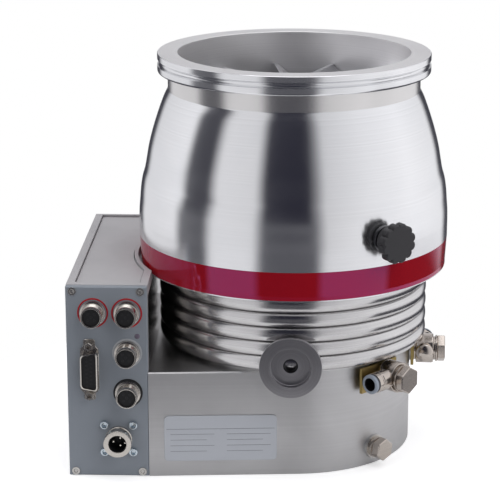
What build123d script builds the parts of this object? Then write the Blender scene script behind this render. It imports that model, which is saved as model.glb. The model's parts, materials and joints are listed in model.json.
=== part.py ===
from build123d import *
import os
from math import acos, atan2, cos, hypot, radians, sin, sqrt, tan

# Turbomolecular pump with an ISO-K inlet flange and a side-mounted drive unit.
# The rotor turns about Z, the base stands on Z = 0, the fore-line port and the
# connector panel face -Y, the drive unit is on the -X side and the cooling-water
# fittings are on the +X side. All sizes are in millimetres. An azimuth is counted
# in degrees from -Y towards +X.

# ------------------------------------------------------------------ driving sizes

# Fits: clearance on the radius, or the gap between two faces
running_gap = 0.08
seat_gap = 0.05
turning_face_gap = 0.1

# Base housing: a round base with a block on the -X side that carries the drive unit
base_height = 71.0
base_radius = 80.0
base_cavity_radius = 60.0
base_floor_height = 20.0
base_edge_chamfer = 0.8
block_reach = 91.5
block_half_width = 86.7
cover_radius = 57.0
cover_thickness = 6.0
cover_opening_radius = 46.0
foot_hole_spacing_x = 120.0
foot_hole_spacing_y = 84.0
foot_hole_radius = 3.4
foot_hole_depth = 12.0

# Finned housing between the base and the bell
housing_height = 61.0
skirt_depth = 4.0
skirt_radius = 76.0
waist_radius = 82.0
fin_radius = 90.0
fin_root_radius = 86.4
fin_shoulder_rise = 2.4
fin_pitch = 9.7
fin_count = 5
first_fin_rise = 2.6
housing_flange_thickness = 7.0

# Bell housing with its coloured band and the ISO-K flange on top
bell_height = 133.0
bell_radius = 103.1
bell_skirt_drop = 7.8
bell_skirt_wall = 2.8
band_height = 19.4
band_taper = 1.1
band_lip = 0.7
band_bed = 1.0
skirt_gap = 0.2
bell_curve_rise = 12.4
bell_waist_share = 0.6935
bell_wall_steps = 7
neck_radius = 83.2
neck_length = 11.5
rim_radius = 90.0
rim_thickness = 12.5
rim_lip = 3.8
rim_groove_width = 4.0
rim_groove_depth = 2.4
inlet_radius = 76.5
chamber_radius = 77.2
stack_radius = 84.0

# Rotor and stator stages, counted from the inlet: axial height of the blades,
# number of blades and the blades' angle to the turning plane
stage_gap = 3.0
rotor_blade_heights = (22.0, 15.0, 12.0, 7.0)
rotor_blade_counts = (12, 12, 16, 16)
rotor_blade_angles = (44.0, 38.0, 32.0, 24.0)
stator_blade_heights = (15.0, 11.0, 8.0)
stator_blade_counts = (14, 18, 18)
stator_blade_angles = (40.0, 34.0, 28.0)
rotor_blade_thickness = 2.0
stator_blade_thickness = 1.4
rotor_tip_gap = 0.8
inlet_clearance = 2.0
hub_radius = 38.0
hub_wall = 4.5
hub_cap_thickness = 8.0
hub_dish_depth = 3.0
hub_dish_radius = 31.0
drum_radius = 62.0
drum_wall = 4.0
drum_length = 42.0
drum_web = 6.0
stator_hub_gap = 1.4
stator_hub_wall = 2.0
pump_gap = 0.6

# Shaft and bearing column
shaft_radius = 12.0
shaft_foot = 32.0
shaft_flange_radius = 24.0
shaft_flange_thickness = 5.5
spigot_radius = 8.0
spigot_proud = 1.5
column_radius = 31.5
column_flange_thickness = 6.0
column_head_gap = 2.0
shaft_foot_gap = 2.0

# Fore-line port, ISO-KF 25
port_rise = 8.0
port_reach = 98.0
port_flange_radius = 20.0
port_rim = 3.0
port_taper = 15.0
port_neck_radius = 13.0
port_recess_radius = 13.0
port_recess_depth = 4.5
port_hole_radius = 4.0
port_foot = 68.0

# Venting valve on the bell
vent_azimuth = 35.0
vent_level = 161.0
vent_seat_radius = 8.5
vent_seat_floor = 2.1
vent_seat_proud = 0.8
vent_stem_radius = 4.0
vent_stem_floor = 3.8
vent_passage_radius = 1.5
vent_seal_radius = 7.5
vent_seal_thickness = 2.0
vent_grip_radius = 9.8
vent_grip_length = 5.6
vent_head_radius = 13.0
vent_head_length = 6.0
vent_head_edge = 1.0
vent_lobes = 12
vent_lobe_radius = 2.1

# Cooling-water fittings: two banjo push-in elbows on brass plates
fitting_level = 61.5
fitting_azimuths = {"front": 48.0, "rear": 88.0}
fitting_hands = {"front": -1, "rear": 1}
plate_stand_off = 0.6
plate_thickness = 2.0
plate_height = 17.0
plate_long_side = 23.0
plate_short_side = 11.5
plate_boss_radius = 8.4
plate_boss_root = 3.0
washer_radius = 8.0
washer_thickness = 1.4
banjo_radius = 10.0
banjo_width = 11.8
banjo_bolt_radius = 4.8
banjo_bolt_seat = 12.0
banjo_bolt_collar_radius = 9.0
banjo_bolt_collar = 1.2
banjo_hex = 16.0
banjo_hex_length = 5.2
port_tube_radius = 6.7
port_tube_start = 9.0
port_tube_end = 20.5
port_tube_bore = 4.9
tube_radius = 4.0
tube_gap = 0.05
boss_radius = 6.2
boss_reach = 13.5
boss_dome = 2.2
passage_radius = 3.0
collet_radius = 6.4
collet_flange = 2.2
collet_rest_gap = 1.4
collet_sleeve = 9.0

# Earth screw
earth_azimuth = 43.0
earth_level = 12.0
earth_washer_radius = 8.0
earth_washer_thickness = 1.6
earth_hex = 13.0
earth_hex_length = 6.5
earth_collar_radius = 6.9
earth_collar = 2.6
earth_stud_radius = 4.0
earth_stud_seat = 12.0
earth_pad = 0.6
earth_pad_root = 3.0

# Rating plate on the flat beside the drive unit
rating_width = 73.0
rating_height = 31.0
rating_level = 25.9
rating_margin = 9.9
rating_thickness = 0.8

# Drive unit
case_width = 52.1
case_height = 128.5
case_back = 91.8
case_wall = 3.0
case_rail = 5.0
case_ledge = 2.0
case_top_depth = 5.0
case_front_rim = 6.0
cover_plate_thickness = 2.0
cover_plate_gap = 0.6
cover_plate_sunk = 1.4
relief_gap = 1.2
relief_wall = 2.5
relief_floor = 3.0
panel_thickness = 4.0
panel_edge = 0.8
board_thickness = 1.6
board_margin = 6.0
board_stand_off = 8.0
post_radius = 3.0

# Connectors on the panel: distance from its centre line, and drop from its top edge.
# Only the power inlet is placed from the panel's foot.
accessory_sides = (-8.7, 13.0)
accessory_drop = 17.5
fieldbus_side = 12.9
fieldbus_drop = 44.2
serial_side = 13.0
serial_drop = 71.2
socket_flange_radius = 8.2
socket_flange = 2.2
socket_radius = 6.9
socket_reach = 11.0
socket_bore_radius = 5.8
socket_insert_sunk = 1.2
remote_side = -11.4
remote_drop = 55.5
remote_post_spacing = 33.3
remote_flange_width = 12.5
remote_flange_height = 41.0
remote_flange = 0.9
remote_shell_width = 10.9
remote_shell_height = 26.3
remote_shell_taper = 10.0
remote_shell_corner = 2.0
remote_shell_wall = 0.8
remote_shell_reach = 6.5
remote_insert_sunk = 1.0
post_hex = 5.0
post_reach = 5.5
post_hole_radius = 1.4
inlet_place = (6.7, 26.3)
inlet_barrel_radius = 9.0
inlet_waist_radius = 8.2
inlet_waist = 3.0
inlet_reach = 12.0
inlet_bore = 5.8
inlet_bore_depth = 11.0
inlet_pin_radius = 0.8
inlet_pin_circle = 2.9
inlet_pin_length = 6.0
led_side = 19.5
led_drop = 32.9
led_radius = 1.75
led_reach = 0.4

# ------------------------------------------------------------------ levels and places

seat_level = base_height + housing_height
inlet_level = seat_level + bell_height
skirt_level = seat_level - bell_skirt_drop
band_level = skirt_level + band_height
bell_curve_level = band_level + bell_curve_rise
rim_level = inlet_level - rim_thickness
neck_level = rim_level - neck_length
port_level = base_height + port_rise

band_foot_radius = bell_radius - band_taper
band_bed_radius = band_foot_radius - band_bed
bell_waist_radius = neck_radius + bell_waist_share * (bell_radius - neck_radius)
housing_flange_radius = band_bed_radius - bell_skirt_wall - skirt_gap
rotor_tip_radius = chamber_radius - rotor_tip_gap
rotor_stages = tuple(zip(rotor_blade_heights, rotor_blade_counts, rotor_blade_angles))
stator_stages = tuple(zip(stator_blade_heights, stator_blade_counts, stator_blade_angles))
vent_seat_foot = stack_radius + vent_seat_floor
vent_seat_depth = bell_radius - vent_seat_foot
vent_stem_length = vent_seat_depth + vent_seat_proud - vent_stem_floor


def stage_levels():
    """Foot levels of the rotor and stator stages, each counted from the inlet."""
    level = seat_level + stage_gap
    rotor_feet, stator_feet = [], []
    for stage in reversed(range(len(rotor_stages))):
        rotor_feet.insert(0, level)
        level += rotor_stages[stage][0] + stage_gap
        if stage > 0:
            stator_feet.insert(0, level)
            level += stator_stages[stage - 1][0] + stage_gap
    return rotor_feet, stator_feet


rotor_feet, stator_feet = stage_levels()
rotor_top = rotor_feet[0] + rotor_stages[0][0]
chamber_level = rotor_top + inlet_clearance
stack_top = stator_feet[0] + stator_stages[0][0]
hub_cap_level = rotor_top - hub_dish_depth - hub_cap_thickness
web_level = seat_level - drum_web
shaft_flange_level = hub_cap_level - shaft_flange_thickness
column_top = shaft_flange_level - column_head_gap
port_axis_plane = Plane(origin=(0, 0, port_level), x_dir=(1, 0, 0), z_dir=(0, -1, 0))

case_right = -block_reach
case_left = case_right - case_width
case_front = -block_half_width
case_middle = (case_left + case_right) / 2
panel_plane = Plane(origin=(case_middle, case_front, 0), x_dir=(1, 0, 0), z_dir=(0, -1, 0))
socket_places = {
    "accessory": [(side, case_height - accessory_drop) for side in accessory_sides],
    "fieldbus": [(fieldbus_side, case_height - fieldbus_drop)],
    "serial": [(serial_side, case_height - serial_drop)],
}
remote_place = (remote_side, case_height - remote_drop)
led_place = (led_side, case_height - led_drop)

# Where the base's flat front meets its round side
corner_distance = hypot(block_reach, block_half_width)
corner_angle = atan2(-block_half_width, -block_reach)
tangent_angle = corner_angle + acos(base_radius / corner_distance)
tangent_point = (base_radius * cos(tangent_angle), base_radius * sin(tangent_angle))
flat_normal = (cos(tangent_angle), sin(tangent_angle), 0)
flat_direction = (-sin(tangent_angle), cos(tangent_angle), 0)


def radial_plane(azimuth, distance, level):
    """A plane that faces away from the pump axis; its own Y is up."""
    turn = radians(azimuth)
    outward = (sin(turn), -cos(turn), 0)
    sideways = (cos(turn), sin(turn), 0)
    return Plane(origin=(distance * outward[0], distance * outward[1], level), x_dir=sideways, z_dir=outward)


earth_seat = radial_plane(earth_azimuth, base_radius + earth_pad, earth_level)
vent_axis = Axis((0, 0, vent_level), radial_plane(vent_azimuth, 1, 0).z_dir)


# ------------------------------------------------------------------ shared shapes


def level_plane(level):
    return Plane.XY.offset(level)


def disc(plane, radius, length, hole=0.0):
    """Adds a round disc, or a ring, that starts on the plane and grows along its normal."""
    with BuildSketch(plane) as ring:
        Circle(radius)
        if hole:
            Circle(hole, mode=Mode.SUBTRACT)
    extrude(ring.sketch, amount=length)


def bore(plane, radius, length, places=None):
    """Cuts round holes that start on the plane and run along its normal."""
    with BuildSketch(plane) as openings:
        with places or Locations((0, 0)):
            Circle(radius)
    extrude(openings.sketch, amount=length, mode=Mode.SUBTRACT)


def studs(plane, radius, length, places):
    """Adds equal round studs that start on the plane and grow along its normal."""
    with BuildSketch(plane) as ends:
        with places:
            Circle(radius)
    extrude(ends.sketch, amount=length)


def turned(*points):
    """Adds a body of revolution about the pump axis from (radius, level) points."""
    with BuildSketch(Plane.XZ) as section:
        with BuildLine():
            Polyline(*points, close=True)
        make_face()
    revolve(section.sketch, axis=Axis.Z)


def blade(foot, stage, root, tip, thickness, hand):
    """One flat blade, tilted to the turning plane, from one radius to another."""
    height, _, angle = stage
    lean = hand * height / tan(radians(angle)) / 2
    half = thickness / sin(radians(angle)) / 2
    tip_reach = sqrt(tip**2 - (abs(lean) + half) ** 2)
    with BuildPart() as plate:
        with BuildSketch(Plane(origin=(root, 0, foot), x_dir=(0, 1, 0), z_dir=(1, 0, 0))):
            with BuildLine():
                Polyline(
                    (-lean - half, 0),
                    (-lean + half, 0),
                    (lean + half, height),
                    (lean - half, height),
                    close=True,
                )
            make_face()
        extrude(amount=tip_reach - root)
    return plate.part


def finish(builder, label):
    builder.part.label = label
    export_step(builder.part, f"parts/{label}.step")


os.makedirs("parts", exist_ok=True)

# ------------------------------------------------------------------ base

with BuildPart() as base_housing:
    with BuildSketch():
        Circle(base_radius)
        with BuildLine():
            Polyline(
                (-block_reach, -block_half_width),
                tangent_point,
                (tangent_point[0], -tangent_point[1]),
                (-block_reach, block_half_width),
                close=True,
            )
        make_face()
    extrude(amount=base_height)
    top_edges = base_housing.faces().sort_by(Axis.Z)[-1].outer_wire().edges()
    chamfer(top_edges.filter_by(lambda edge: edge.center().X > -block_reach + 1), base_edge_chamfer)
    bore(level_plane(base_height), skirt_radius + seat_gap, -skirt_depth)
    bore(level_plane(base_floor_height), base_cavity_radius, base_height)
    bore(level_plane(0), cover_opening_radius, base_floor_height)
    bore(level_plane(0), cover_radius + seat_gap, cover_thickness)
    bore(port_axis_plane, port_neck_radius + seat_gap, block_half_width)
    foot_holes = GridLocations(foot_hole_spacing_x, foot_hole_spacing_y, 2, 2)
    bore(level_plane(0), foot_hole_radius, foot_hole_depth, foot_holes)
    for azimuth in fitting_azimuths.values():
        boss_foot = radial_plane(azimuth, base_radius - plate_boss_root, fitting_level)
        disc(boss_foot, plate_boss_radius, plate_boss_root + plate_stand_off)
        bolt_foot = radial_plane(azimuth, base_radius - banjo_bolt_seat, fitting_level)
        bore(bolt_foot, banjo_bolt_radius + seat_gap, banjo_bolt_seat + plate_stand_off)
    disc(earth_seat.offset(-earth_pad_root), earth_washer_radius, earth_pad_root)
    bore(earth_seat, earth_stud_radius + seat_gap, -earth_stud_seat)
finish(base_housing, "base_housing")

with BuildPart() as base_cover:
    disc(level_plane(0), cover_radius, cover_thickness)
finish(base_cover, "base_cover")

# ------------------------------------------------------------------ finned housing

housing_flange_foot = seat_level - housing_flange_thickness
housing_bore_radius = drum_radius + pump_gap
first_fin_level = base_height + first_fin_rise


def fin_outline():
    """Corner points of the stacked cooling ridges, from the lowest root upwards."""
    points = [(fin_root_radius, first_fin_level)]
    for fin in range(fin_count):
        foot = first_fin_level + fin * fin_pitch
        points += [
            (fin_radius, foot + fin_shoulder_rise),
            (fin_radius, foot + fin_pitch - fin_shoulder_rise),
            (fin_root_radius, foot + fin_pitch),
        ]
    return points


with BuildPart() as finned_housing:
    turned(
        (housing_bore_radius, base_height - skirt_depth),
        (skirt_radius, base_height - skirt_depth),
        (skirt_radius, base_height),
        (waist_radius, base_height),
        (waist_radius, first_fin_level),
        *fin_outline(),
        (fin_root_radius, housing_flange_foot),
        (housing_flange_radius, housing_flange_foot),
        (housing_flange_radius, seat_level),
        (housing_bore_radius, seat_level),
    )
    bore(port_axis_plane, port_neck_radius + seat_gap, fin_radius)
finish(finned_housing, "finned_housing")

# ------------------------------------------------------------------ bell housing

vent_axis_plane = radial_plane(vent_azimuth, 0, vent_level)
bell_arc = ThreePointArc(
    (neck_radius, neck_level),
    (bell_waist_radius, (neck_level + bell_curve_level) / 2),
    (bell_radius, bell_curve_level),
)
bell_wall = [bell_arc @ (step / bell_wall_steps) for step in range(bell_wall_steps + 1)]
with BuildPart() as bell_housing:
    with BuildSketch(Plane.XZ):
        with BuildLine():
            Polyline(
                (bell_radius, band_level),
                (band_bed_radius, band_level),
                (band_bed_radius, skirt_level + band_lip),
                (band_foot_radius, skirt_level + band_lip),
                (band_foot_radius, skirt_level),
                (housing_flange_radius + skirt_gap, skirt_level),
                (housing_flange_radius + skirt_gap, seat_level),
                (stack_radius + seat_gap, seat_level),
                (stack_radius + seat_gap, stack_top),
                (chamber_radius, stack_top),
                (chamber_radius, chamber_level),
                (inlet_radius, chamber_level),
                (inlet_radius, inlet_level),
                (rim_radius, inlet_level),
                (rim_radius, inlet_level - rim_lip),
                (rim_radius - rim_groove_depth, inlet_level - rim_lip - rim_groove_width / 2),
                (rim_radius, inlet_level - rim_lip - rim_groove_width),
                (rim_radius, rim_level),
                (neck_radius, rim_level),
                *bell_wall,
                close=True,
            )
        make_face()
    revolve(axis=Axis.Z)
    bore(vent_axis_plane.offset(vent_seat_foot), vent_seat_radius + seat_gap, vent_seat_depth + vent_seat_proud)
    bore(vent_axis_plane.offset(stack_radius), vent_passage_radius, vent_seat_depth)
finish(bell_housing, "bell_housing")

with BuildPart() as accent_band:
    turned(
        (band_bed_radius + seat_gap, skirt_level + band_lip),
        (band_foot_radius, skirt_level + band_lip),
        (bell_radius, band_level),
        (band_bed_radius + seat_gap, band_level),
    )
finish(accent_band, "accent_band")

# ------------------------------------------------------------------ stator stack

stator_hub_bore = hub_radius + stator_hub_gap
vane_root = stator_hub_bore + stator_hub_wall / 2
rim_feet = [foot + stage[0] for foot, stage in zip(stator_feet[1:], stator_stages[1:])] + [seat_level]
for number, (foot, rim_foot, stage) in enumerate(zip(stator_feet, rim_feet, stator_stages), start=1):
    top = foot + stage[0]
    vane = blade(foot, stage, vane_root, (stack_radius + chamber_radius) / 2, stator_blade_thickness, -1)
    with BuildPart() as stator_ring:
        with PolarLocations(0, stage[1]):
            add(vane)
        disc(level_plane(foot), stator_hub_bore + stator_hub_wall, stage[0], stator_hub_bore)
        disc(level_plane(rim_foot), stack_radius, top - rim_foot, chamber_radius)
    finish(stator_ring, f"stator_ring_{number}")

# ------------------------------------------------------------------ bearing column

with BuildPart() as bearing_column:
    turned(
        (0, base_floor_height),
        (cover_radius, base_floor_height),
        (cover_radius, base_floor_height + column_flange_thickness),
        (column_radius, base_floor_height + column_flange_thickness),
        (column_radius, column_top),
        (shaft_radius + running_gap, column_top),
        (shaft_radius + running_gap, shaft_foot - shaft_foot_gap),
        (0, shaft_foot - shaft_foot_gap),
    )
finish(bearing_column, "bearing_column")

# ------------------------------------------------------------------ rotor

blade_root = hub_radius - hub_wall / 2
blades = [
    blade(foot, stage, blade_root, rotor_tip_radius, rotor_blade_thickness, 1)
    for foot, stage in zip(rotor_feet, rotor_stages)
]
with BuildPart() as rotor:
    for plate, stage in zip(blades, rotor_stages):
        with PolarLocations(0, stage[1]):
            add(plate)
    turned(
        (hub_radius - hub_wall, web_level),
        (drum_radius - drum_wall, web_level),
        (drum_radius - drum_wall, seat_level - drum_length),
        (drum_radius, seat_level - drum_length),
        (drum_radius, seat_level),
        (hub_radius, seat_level),
        (hub_radius, rotor_top),
        (hub_dish_radius, rotor_top),
        (hub_dish_radius, hub_cap_level + hub_cap_thickness),
        (spigot_radius + seat_gap, hub_cap_level + hub_cap_thickness),
        (spigot_radius + seat_gap, hub_cap_level),
        (hub_radius - hub_wall, hub_cap_level),
    )
finish(rotor, "rotor")

with BuildPart() as shaft:
    disc(level_plane(shaft_foot), shaft_radius, shaft_flange_level - shaft_foot)
    disc(level_plane(shaft_flange_level), shaft_flange_radius, shaft_flange_thickness)
    disc(level_plane(hub_cap_level), spigot_radius, hub_cap_thickness + spigot_proud)
    chamfer(shaft.edges().sort_by(Axis.Z)[-1], spigot_proud / 2)
finish(shaft, "shaft")

# ------------------------------------------------------------------ fore-line port

with BuildPart() as foreline_port:
    taper_depth = (port_flange_radius - port_neck_radius) * tan(radians(port_taper))
    with BuildSketch(Plane.YZ):
        with BuildLine():
            Polyline(
                (-port_reach, port_level),
                (-port_reach, port_level + port_flange_radius),
                (-port_reach + port_rim, port_level + port_flange_radius),
                (-port_reach + port_rim + taper_depth, port_level + port_neck_radius),
                (-port_foot, port_level + port_neck_radius),
                (-port_foot, port_level),
                close=True,
            )
        make_face()
    revolve(axis=Axis((0, 0, port_level), (0, 1, 0)))
    port_face = port_axis_plane.offset(port_reach)
    bore(port_face, port_recess_radius, -port_recess_depth)
    bore(port_face, port_hole_radius, -port_reach + port_foot)
finish(foreline_port, "foreline_port")

# ------------------------------------------------------------------ venting valve

vent_face = vent_axis_plane.offset(bell_radius + vent_seat_proud)
with BuildPart() as vent_seat:
    disc(vent_face, vent_seat_radius, -vent_seat_depth - vent_seat_proud)
    bore(vent_face, vent_stem_radius + running_gap, -vent_stem_length)
    bore(vent_face, vent_passage_radius, -vent_seat_depth - vent_seat_proud)
finish(vent_seat, "vent_seat")

with BuildPart() as vent_seal:
    seal_foot = vent_face.offset(turning_face_gap)
    disc(seal_foot, vent_seal_radius, vent_seal_thickness, vent_stem_radius + running_gap)
finish(vent_seal, "vent_seal")

with BuildPart() as vent_knob:
    grip_foot = seal_foot.offset(vent_seal_thickness + turning_face_gap)
    head_foot = grip_foot.offset(vent_grip_length)
    disc(grip_foot, vent_stem_radius, -vent_stem_length)
    disc(grip_foot, vent_grip_radius, vent_grip_length)
    disc(head_foot, vent_head_radius, vent_head_length)
    chamfer(vent_knob.edges().group_by(vent_axis)[-1], vent_head_edge)
    with BuildSketch(head_foot):
        with PolarLocations(vent_head_radius + vent_lobe_radius / 3, vent_lobes):
            Circle(vent_lobe_radius)
    extrude(amount=vent_head_length, mode=Mode.SUBTRACT)
finish(vent_knob, "vent_knob")

# ------------------------------------------------------------------ cooling-water fittings

fitting_face = base_radius + plate_stand_off
inner_washer_foot = fitting_face + plate_thickness
banjo_foot = inner_washer_foot + washer_thickness + turning_face_gap
banjo_middle = banjo_foot + banjo_width / 2
outer_washer_foot = banjo_foot + banjo_width + turning_face_gap
collar_foot = outer_washer_foot + washer_thickness

with BuildPart() as cooling_plates:
    for side, azimuth in fitting_azimuths.items():
        hand = fitting_hands[side]
        with BuildSketch(radial_plane(azimuth, fitting_face, fitting_level)):
            with Locations((hand * (plate_long_side - plate_short_side) / 2, 0)):
                Rectangle(plate_long_side + plate_short_side, plate_height)
            Circle(banjo_bolt_radius + seat_gap, mode=Mode.SUBTRACT)
        extrude(amount=plate_thickness)
finish(cooling_plates, "cooling_plates")

with BuildPart() as banjo_washers:
    for azimuth in fitting_azimuths.values():
        for foot in (inner_washer_foot, outer_washer_foot):
            plane = radial_plane(azimuth, foot, fitting_level)
            disc(plane, washer_radius, washer_thickness, banjo_bolt_radius + seat_gap)
finish(banjo_washers, "banjo_washers")

with BuildPart() as banjo_bolts:
    for azimuth in fitting_azimuths.values():
        bolt_foot = radial_plane(azimuth, base_radius - banjo_bolt_seat + seat_gap, fitting_level)
        disc(bolt_foot, banjo_bolt_radius, collar_foot - base_radius + banjo_bolt_seat)
        disc(radial_plane(azimuth, collar_foot, fitting_level), banjo_bolt_collar_radius, banjo_bolt_collar)
        with BuildSketch(radial_plane(azimuth, collar_foot + banjo_bolt_collar, fitting_level)):
            RegularPolygon(banjo_hex / 2, 6, major_radius=False, rotation=90)
        extrude(amount=banjo_hex_length)
finish(banjo_bolts, "banjo_bolts")

collet_sleeve_foot = port_tube_end + collet_rest_gap - collet_sleeve
tube_bore_foot = collet_sleeve_foot - collet_rest_gap
for side, azimuth in fitting_azimuths.items():
    hand = fitting_hands[side]
    middle = radial_plane(azimuth, banjo_middle, fitting_level)
    port_plane = Plane(origin=middle.origin, x_dir=middle.z_dir, z_dir=middle.x_dir * hand)
    boss_plane = Plane(origin=middle.origin, x_dir=middle.z_dir, z_dir=middle.x_dir * -hand)
    with BuildPart() as banjo:
        disc(radial_plane(azimuth, banjo_foot, fitting_level), banjo_radius, banjo_width)
        disc(port_plane.offset(port_tube_start), port_tube_radius, port_tube_end - port_tube_start)
        disc(boss_plane.offset(port_tube_start), boss_radius, boss_reach - port_tube_start)
        boss_rim = banjo.edges().group_by(Axis(middle.origin, boss_plane.z_dir))[-1]
        chamfer(boss_rim, boss_dome)
        bore(radial_plane(azimuth, banjo_foot, fitting_level), banjo_bolt_radius + running_gap, banjo_width)
        bore(port_plane.offset(tube_bore_foot), port_tube_bore, port_tube_end - tube_bore_foot)
        bore(port_plane, passage_radius, tube_bore_foot)
    finish(banjo, f"banjo_{side}")

    with BuildPart() as collet:
        disc(port_plane.offset(collet_sleeve_foot), port_tube_bore - running_gap, collet_sleeve)
        disc(port_plane.offset(port_tube_end + collet_rest_gap), collet_radius, collet_flange)
        bore(port_plane.offset(collet_sleeve_foot), tube_radius + tube_gap, collet_sleeve + collet_flange)
    finish(collet, f"collet_{side}")

# ------------------------------------------------------------------ earth screw and rating plate

with BuildPart() as earth_washer:
    disc(earth_seat, earth_washer_radius, earth_washer_thickness, earth_stud_radius + seat_gap)
finish(earth_washer, "earth_washer")

with BuildPart() as earth_screw:
    disc(earth_seat.offset(seat_gap - earth_stud_seat), earth_stud_radius, earth_stud_seat + earth_washer_thickness)
    disc(earth_seat.offset(earth_washer_thickness), earth_collar_radius, earth_collar)
    with BuildSketch(earth_seat.offset(earth_washer_thickness + earth_collar)):
        RegularPolygon(earth_hex / 2, 6, major_radius=False)
    extrude(amount=earth_hex_length)
finish(earth_screw, "earth_screw")

rating_centre = (
    -block_reach + (rating_margin + rating_width / 2) * flat_direction[0],
    -block_half_width + (rating_margin + rating_width / 2) * flat_direction[1],
    rating_level,
)
with BuildPart() as rating_plate:
    with BuildSketch(Plane(origin=rating_centre, x_dir=flat_direction, z_dir=flat_normal)):
        Rectangle(rating_width, rating_height)
    extrude(amount=rating_thickness)
finish(rating_plate, "rating_plate")

# ------------------------------------------------------------------ drive unit


def block(x_span, y_span, z_span, mode=Mode.ADD):
    """Adds or cuts a straight block between two limits along each axis."""
    with BuildSketch(level_plane(z_span[0])) as plan:
        with Locations(((x_span[0] + x_span[1]) / 2, (y_span[0] + y_span[1]) / 2)):
            Rectangle(x_span[1] - x_span[0], y_span[1] - y_span[0])
    extrude(plan.sketch, amount=z_span[1] - z_span[0], mode=mode)


def bell_relief(radius, foot, top, mode):
    """Adds or cuts the part of the case that lies inside a circle about the pump axis."""
    with BuildSketch(level_plane(foot)) as plan:
        Circle(radius)
        with Locations((case_middle, 0)):
            Rectangle(case_width, 2 * case_back, mode=Mode.INTERSECT)
    extrude(plan.sketch, amount=top - foot, mode=mode)


body_front = case_front + panel_thickness
cover_plate_top = case_height - cover_plate_sunk
cover_plate_foot = cover_plate_top - cover_plate_thickness
pocket_x = (case_left + case_rail, case_right - case_rail)
pocket_y = (body_front + case_front_rim, case_back - case_wall)
relief_radius = bell_radius + relief_gap
relief_level = skirt_level - relief_gap
board_x = case_left + case_wall + board_stand_off
board_y = (body_front + board_margin, case_back - case_wall - board_margin)
board_z = (case_wall + board_margin, case_height - case_top_depth - board_margin)
with BuildPart() as drive_case:
    block((case_left, case_right), (body_front, case_back), (0, case_height))
    block(
        (case_left + case_wall, case_right - case_wall),
        (body_front, case_back - case_wall),
        (case_wall, case_height - case_top_depth),
        Mode.SUBTRACT,
    )
    block(
        (pocket_x[0] + case_ledge, pocket_x[1] - case_ledge),
        (pocket_y[0] + case_ledge, pocket_y[1] - case_ledge),
        (case_height - case_top_depth, case_height),
        Mode.SUBTRACT,
    )
    block(pocket_x, pocket_y, (cover_plate_foot, case_height), Mode.SUBTRACT)
    bell_relief(relief_radius + relief_wall, relief_level - relief_floor, case_height, Mode.ADD)
    bell_relief(relief_radius, relief_level, case_height, Mode.SUBTRACT)
    board_middle = (board_x, sum(board_y) / 2, sum(board_z) / 2)
    post_places = GridLocations(
        board_y[1] - board_y[0] - 4 * post_radius, board_z[1] - board_z[0] - 4 * post_radius, 2, 2
    )
    board_plane = Plane(origin=board_middle, x_dir=(0, 1, 0), z_dir=(1, 0, 0))
    studs(board_plane, post_radius, -board_stand_off, post_places)
finish(drive_case, "drive_case")

with BuildPart() as circuit_board:
    block((board_x, board_x + board_thickness), board_y, board_z)
finish(circuit_board, "circuit_board")

with BuildPart() as drive_cover:
    block(
        (pocket_x[0] + cover_plate_gap, pocket_x[1] - cover_plate_gap),
        (pocket_y[0] + cover_plate_gap, pocket_y[1] - cover_plate_gap),
        (cover_plate_foot, cover_plate_top),
    )
    bell_relief(relief_radius + relief_wall + cover_plate_gap, cover_plate_foot, cover_plate_top, Mode.SUBTRACT)
finish(drive_cover, "drive_cover")


def on_panel(place):
    """A plane on the panel's face, at a place counted from its centre line and foot."""
    return Plane(origin=panel_plane.from_local_coords((place[0], place[1], 0)), x_dir=(1, 0, 0), z_dir=(0, -1, 0))


def remote_outline(inset):
    """The connector's D shape, with its long side towards +X."""
    width = remote_shell_width - 2 * inset
    height = remote_shell_height - 2 * inset
    narrowing = width * tan(radians(remote_shell_taper))
    with BuildSketch(on_panel(remote_place)) as outline:
        with BuildLine():
            Polyline(
                (width / 2, -height / 2),
                (width / 2, height / 2),
                (-width / 2, height / 2 - narrowing),
                (-width / 2, -height / 2 + narrowing),
                close=True,
            )
        make_face()
        fillet(outline.vertices(), remote_shell_corner - inset)
    return outline.sketch


all_sockets = [place for places in socket_places.values() for place in places]
remote_posts = GridLocations(1, remote_post_spacing, 1, 2)
with BuildPart() as front_panel:
    with BuildSketch(panel_plane):
        with Locations((0, case_height / 2)):
            Rectangle(case_width, case_height)
    extrude(amount=-panel_thickness)
    chamfer(front_panel.faces().sort_by(Axis.Y)[0].edges(), panel_edge)
finish(front_panel, "front_panel")

# ------------------------------------------------------------------ connectors


def round_socket(place):
    """Adds one round panel socket: flange, threaded barrel and the shank behind the panel."""
    face = on_panel(place)
    disc(face, socket_flange_radius, socket_flange, socket_bore_radius)
    disc(face, socket_radius, socket_reach, socket_bore_radius)


for name, places in socket_places.items():
    with BuildPart() as socket:
        for place in places:
            round_socket(place)
    finish(socket, f"{name}_socket")

with BuildPart() as socket_inserts:
    studs(panel_plane, socket_bore_radius - seat_gap, socket_reach - socket_insert_sunk, Locations(*all_sockets))
finish(socket_inserts, "socket_inserts")

remote_face = on_panel(remote_place)
with BuildPart() as remote_socket:
    with BuildSketch(remote_face):
        RectangleRounded(remote_flange_width, remote_flange_height, remote_shell_corner)
    extrude(amount=remote_flange)
    extrude(remote_outline(0), amount=remote_shell_reach)
    extrude(remote_outline(remote_shell_wall), amount=remote_shell_reach, mode=Mode.SUBTRACT)
finish(remote_socket, "remote_socket")

with BuildPart() as remote_insert:
    extrude(remote_outline(remote_shell_wall + seat_gap), amount=remote_shell_reach - remote_insert_sunk)
finish(remote_insert, "remote_insert")

with BuildPart() as jack_posts:
    with BuildSketch(remote_face.offset(remote_flange)):
        with remote_posts:
            RegularPolygon(post_hex / 2, 6, major_radius=False)
            Circle(post_hole_radius, mode=Mode.SUBTRACT)
    extrude(amount=post_reach)
finish(jack_posts, "jack_posts")

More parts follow.
